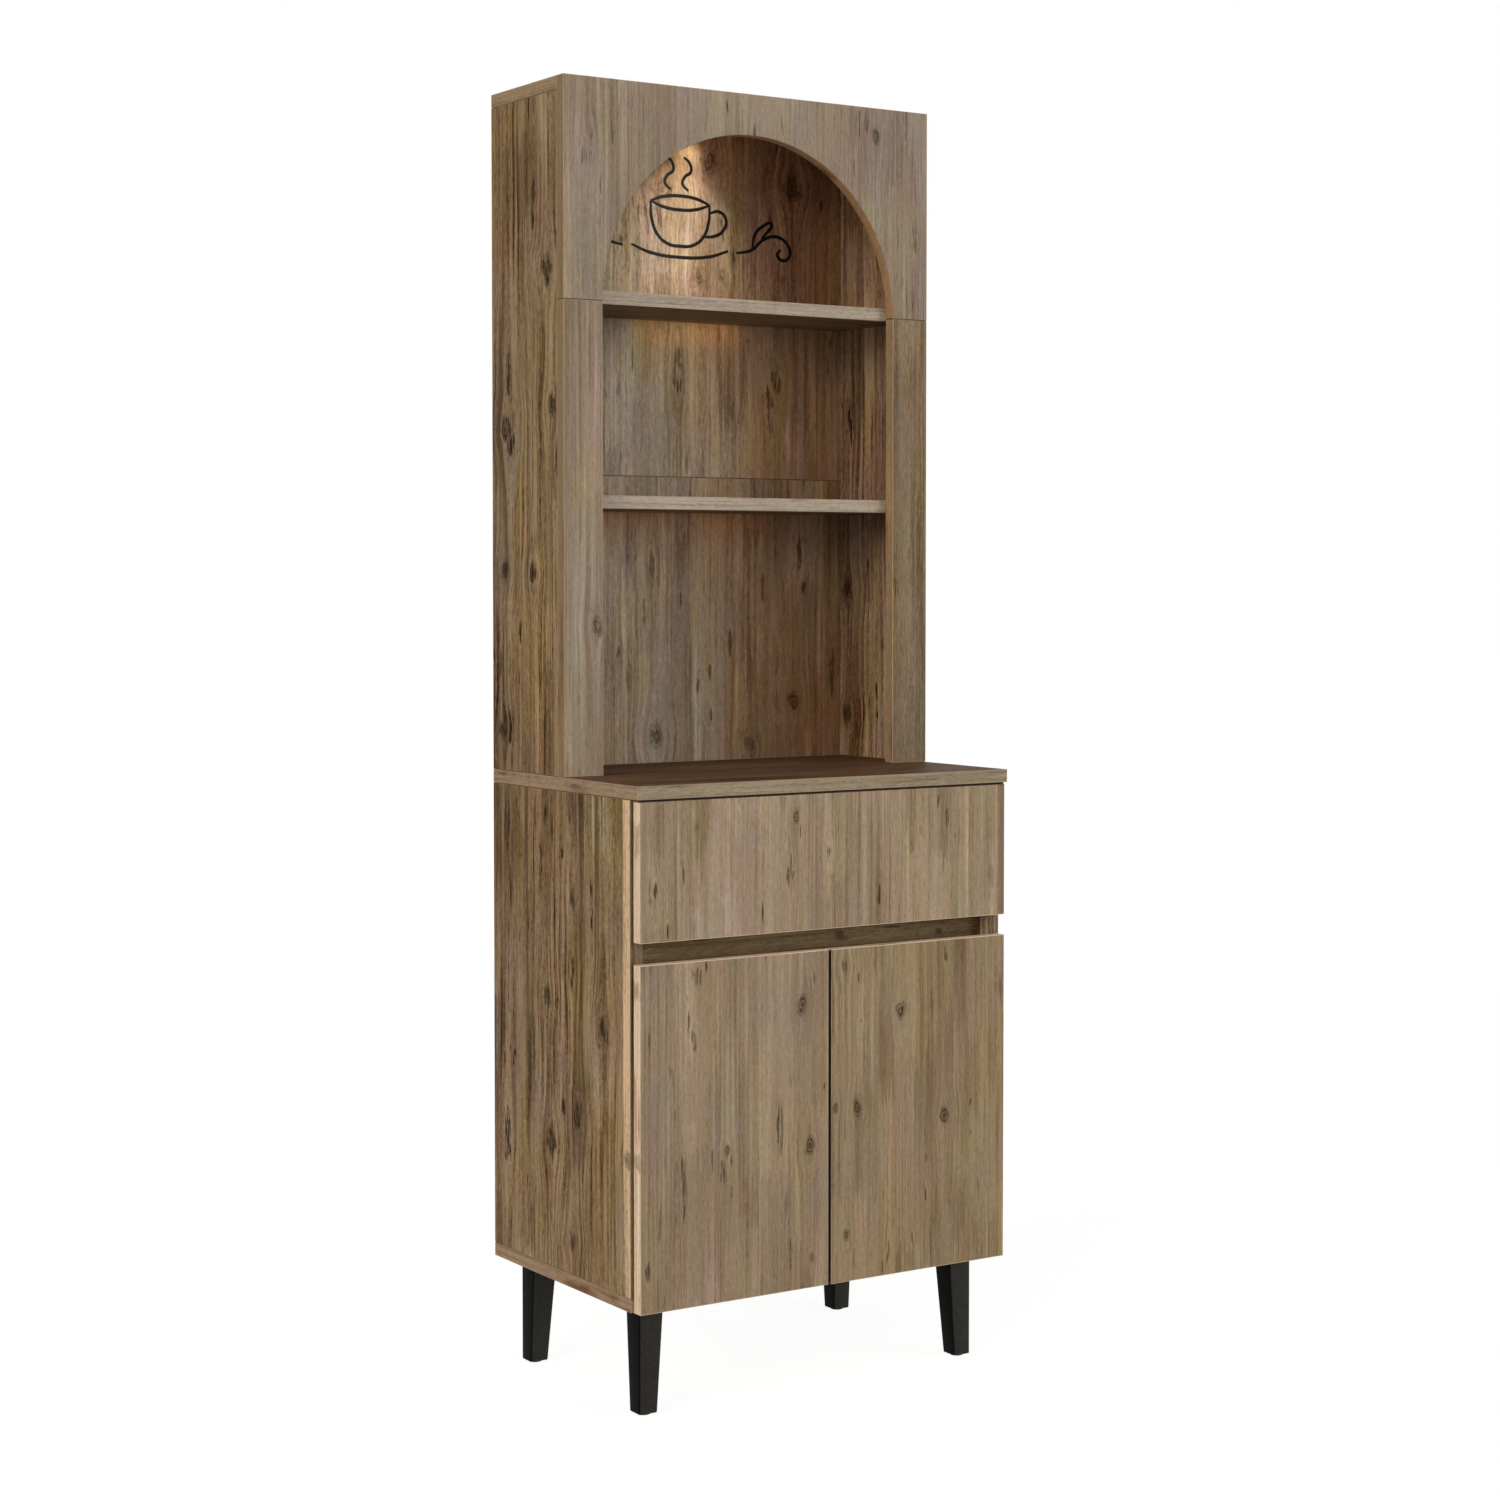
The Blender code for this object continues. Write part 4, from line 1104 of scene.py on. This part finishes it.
cupHinge = {
    "flange": (0.020, 0.0009, 0.058),      # across, thick, high
    "flangeRound": 0.0098,
    "wall": 0.0012,
    "bore": 0.04,
    "cupEase": 0.00025,
    "pins": (-0.006, 0.006),
    "pinRise": 0.004,
    "pinRadius": 0.0013,
    "pinLength": 1.74,                     # in radii of the cup
    "pinEase": 0.0003,
    "screwPitch": 0.0225,
    "screwRadius": 0.0032,
    "screwHead": 0.0010,
    "wing": 0.0016,
    "wingReach": (-0.147, -0.131),
    "wingRound": 0.0055,
    "wingEase": 0.0004,
    "wingScrew": 0.0165,
    "plate": 0.003,
    "plateReach": (-0.160, -0.118),
    "plateHalf": 0.007,
    "armRise": 0.011,
    "armHalf": 0.0062,
    "armEnd": 0.001,
    "armEase": 0.0007,
    "noseRise": 0.005,
    "noseLength": 0.016,
    "noseEase": 0.0016,
    "slotReach": (-0.153, -0.137),
    "slotHalf": 0.0022,
    "slotSink": 0.002,
    "armScrews": (-0.150, -0.127),
}


def makeScrew(look):
    # a pan head facing up at the origin, with a cross in it
    radius, head = look["screwRadius"], look["screwHead"]
    screw = startRod((0, 0, head / 2), radius, head, 32)
    ease(screw, head * 0.45, 3, 60)
    long, thin = radius * 0.62, radius * 0.13
    for reachX, reachY in ((long, thin), (thin, long)):
        carve(screw, startBlock((-reachX, -reachY, head * 0.3), (reachX, reachY, head * 4)))
    return screw


def makeHingeCup(look, screw):
    low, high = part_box("hinge_cup_left_upper")
    across, midway, level = middleOf(low, high)
    wide, thick, tall = look["flange"]
    cup = startBlock((across - wide / 2, high[1] - thick, level - tall / 2),
                     (across + wide / 2, high[1], level + tall / 2))
    roundEdges(cup, lambda place, along: abs(along.y) > 0.9, look["flangeRound"], 10)
    radius = (high[0] - low[0]) / 2
    carve(cup, startRod((across, midway, level), radius, high[1] - low[1], 80, (90, 0, 0)), 'UNION')
    floor = low[1] + look["wall"]
    bore = (across, floor + look["bore"] / 2, level)
    carve(cup, startRod(bore, radius - look["wall"], look["bore"], 80, (90, 0, 0)))
    ease(cup, look["cupEase"])
    parts = [cup]
    for shift in look["pins"]:
        spindle = (across + shift, floor + look["pinRise"], level)
        pin = startRod(spindle, look["pinRadius"], look["pinLength"] * radius, 24)
        ease(pin, look["pinEase"])
        parts.append(pin)
    for side in (-1, 1):
        parts.append(copyPiece(screw, (across, high[1], level + side * look["screwPitch"]), -90, 'X'))
    return joinPieces(parts)


def makeHingeArm(look, screw):
    low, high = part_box("hinge_arm_left_upper")
    level = (low[2] + high[2]) / 2
    foot = low[0]
    wingFront, wingRear = look["wingReach"]
    wing = startBlock((foot, wingFront, low[2]), (foot + look["wing"], wingRear, high[2]))
    roundEdges(wing, lambda place, along: abs(along.x) > 0.9, look["wingRound"], 8)
    front, rear = look["plateReach"]
    half = look["plateHalf"]
    carve(wing, startBlock((foot, front, level - half), (foot + look["plate"], rear, level + half)), 'UNION')
    ease(wing, look["wingEase"])
    half = look["armHalf"]
    top = foot + look["armRise"]
    arm = startBlock((foot + look["plate"], low[1] + look["armEnd"], level - half),
                     (top, rear - look["armEnd"], level + half))
    nose = startBlock((foot + look["noseRise"], low[1], level - half),
                      (high[0], low[1] + look["noseLength"], level + half))
    ease(nose, look["noseEase"], 3)
    carve(arm, nose, 'UNION')
    slotFront, slotRear = look["slotReach"]
    half = look["slotHalf"]
    carve(arm, startBlock((top - look["slotSink"], slotFront, level - half),
                          (top + look["slotSink"], slotRear, level + half)))
    ease(arm, look["armEase"], 3)
    spots = [(top, place, level) for place in look["armScrews"]]
    middle = (wingFront + wingRear) / 2
    spots += [(foot + look["wing"], middle, level + side * look["wingScrew"]) for side in (-1, 1)]
    return joinPieces([wing, arm] + [copyPiece(screw, place, 90, 'Y') for place in spots])


def makeHinges(look):
    screw = makeScrew(look)
    for kind, makePart in (("cup", makeHingeCup), ("arm", makeHingeArm)):
        first = makePart(look, screw)
        low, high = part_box("hinge_" + kind + "_left_upper")
        drop = (0, 0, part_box("hinge_" + kind + "_left_lower")[0][2] - low[2])
        level = (0, 0, (low[2] + high[2]) / 2)
        parts = {"left_upper": first, "left_lower": copyPiece(first, drop),
                 "right_upper": copyPiece(first, (0, 0, 0), 180, 'Y', level),
                 "right_lower": copyPiece(first, drop, 180, 'Y', level)}
        for place, part in parts.items():
            settle(part, "hinge_" + kind + "." + place, looks["zincSteel"])
            smooth(part, 35)
            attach(part, place.split("_")[0] + "_door" if kind == "cup" else "cabinet")
            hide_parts("hinge_" + kind + "_" + place)
    bpy.data.objects.remove(screw, do_unlink=True)


makeHinges(cupHinge)
print("hinges made")


# black strips that paint the shade of the gaps: a lip in the gap between the doors, and a strip in the gap
# over the drawer front

gapShadeStrips = {
    "setback": 0.0005,      # behind the face of the fronts
    "ends": 0.002,
    "lipThick": 0.0024,
    "lipDepth": 0.006,
    "lipRound": 0.0006,
    "stripDepth": 0.008,
    "stripPlay": 0.0004,    # over the drawer front
    "stripRound": 0.0003,
}


def makeGapShadeStrips(look):
    low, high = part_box("door_left")
    front = low[1] + look["setback"]
    lip = startBlock((high[0], front, low[2] + look["ends"]),
                     (high[0] + look["lipThick"], front + look["lipDepth"], high[2] - look["ends"]))
    roundEdges(lip, lambda place, along: abs(along.z) > 0.9 and place.x > high[0] + 0.001,
               look["lipRound"], 5)
    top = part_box("drawer_front")[1][2] + look["stripPlay"]
    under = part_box("worktop")[0][2]
    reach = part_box("drawer_front")[1][0] - look["ends"]
    strip = startBlock((-reach, front, top), (reach, front + look["stripDepth"], under))
    roundEdges(strip, lambda place, along: abs(along.x) > 0.9 and place.z < top + 0.0002,
               look["stripRound"], 4)
    for piece, name, body in ((lip, "shadeLip.doors", "left_door"), (strip, "shadeStrip.drawer", "cabinet")):
        settle(piece, name, looks["gapShadeBlack"])
        smooth(piece, 40)
        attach(piece, body)


makeGapShadeStrips(gapShadeStrips)
print("gap shade strips made")


# stop buffers on the fronts, and caps over the joint fittings inside

smallParts = {
    "bufferRadius": 0.0042,
    "bufferHeight": 0.0012,
    "bufferCut": 0.0001,
    "bufferSpots": {        # across, up, body
        "buffer.door_left": (-0.020, 0.156, "left_door"),
        "buffer.door_right": (0.020, 0.156, "right_door"),
        "buffer.drawer_left": (-0.2895, 0.795, "drawer"),
        "buffer.drawer_right": (0.2895, 0.795, "drawer"),
    },
    "capRadius": 0.0085,
    "capHeight": 0.0008,
    "capRim": 0.0016,
    "capSink": -0.0002,
    "capEase": 0.00025,
    "capSpots": [(x, y) for x in (-0.247, 0.247) for y in (-0.120, 0.130)],
    "topCapSpots": [(x, y) for x in (-0.247, 0.247) for y in (0.045, 0.150)],
}


def makeSmallParts(look):
    buffer = startDome((0, 0, 0), look["bufferRadius"], look["bufferHeight"], 32, look["bufferCut"], True)
    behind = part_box("door_left")[1][1]
    for name, (across, up, body) in look["bufferSpots"].items():
        part = settle(copyPiece(buffer, (across, behind, up), -90, 'X'), name, looks["bufferPlastic"])
        smooth(part, 60)
        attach(part, body)
    bpy.data.objects.remove(buffer, do_unlink=True)

    cap = startRod((0, 0, look["capHeight"] / 2), look["capRadius"], look["capHeight"], 48)
    sinkFace(cap, lambda place, facing: facing.z > 0.9, look["capRim"], look["capSink"])
    ease(cap, look["capEase"], 2)
    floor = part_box("base_bottom")[1][2]
    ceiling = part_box("hutch_top")[0][2]
    caps = [copyPiece(cap, (x, y, floor)) for x, y in look["capSpots"]]
    caps += [copyPiece(cap, (x, y, ceiling), 180, 'X') for x, y in look["topCapSpots"]]
    for index, part in enumerate(caps):
        settle(part, "fittingCap." + str(index + 1), looks["capBrown"])
        smooth(part, 40)
        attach(part, "cabinet")
    bpy.data.objects.remove(cap, do_unlink=True)


makeSmallParts(smallParts)
print("buffers and caps made")
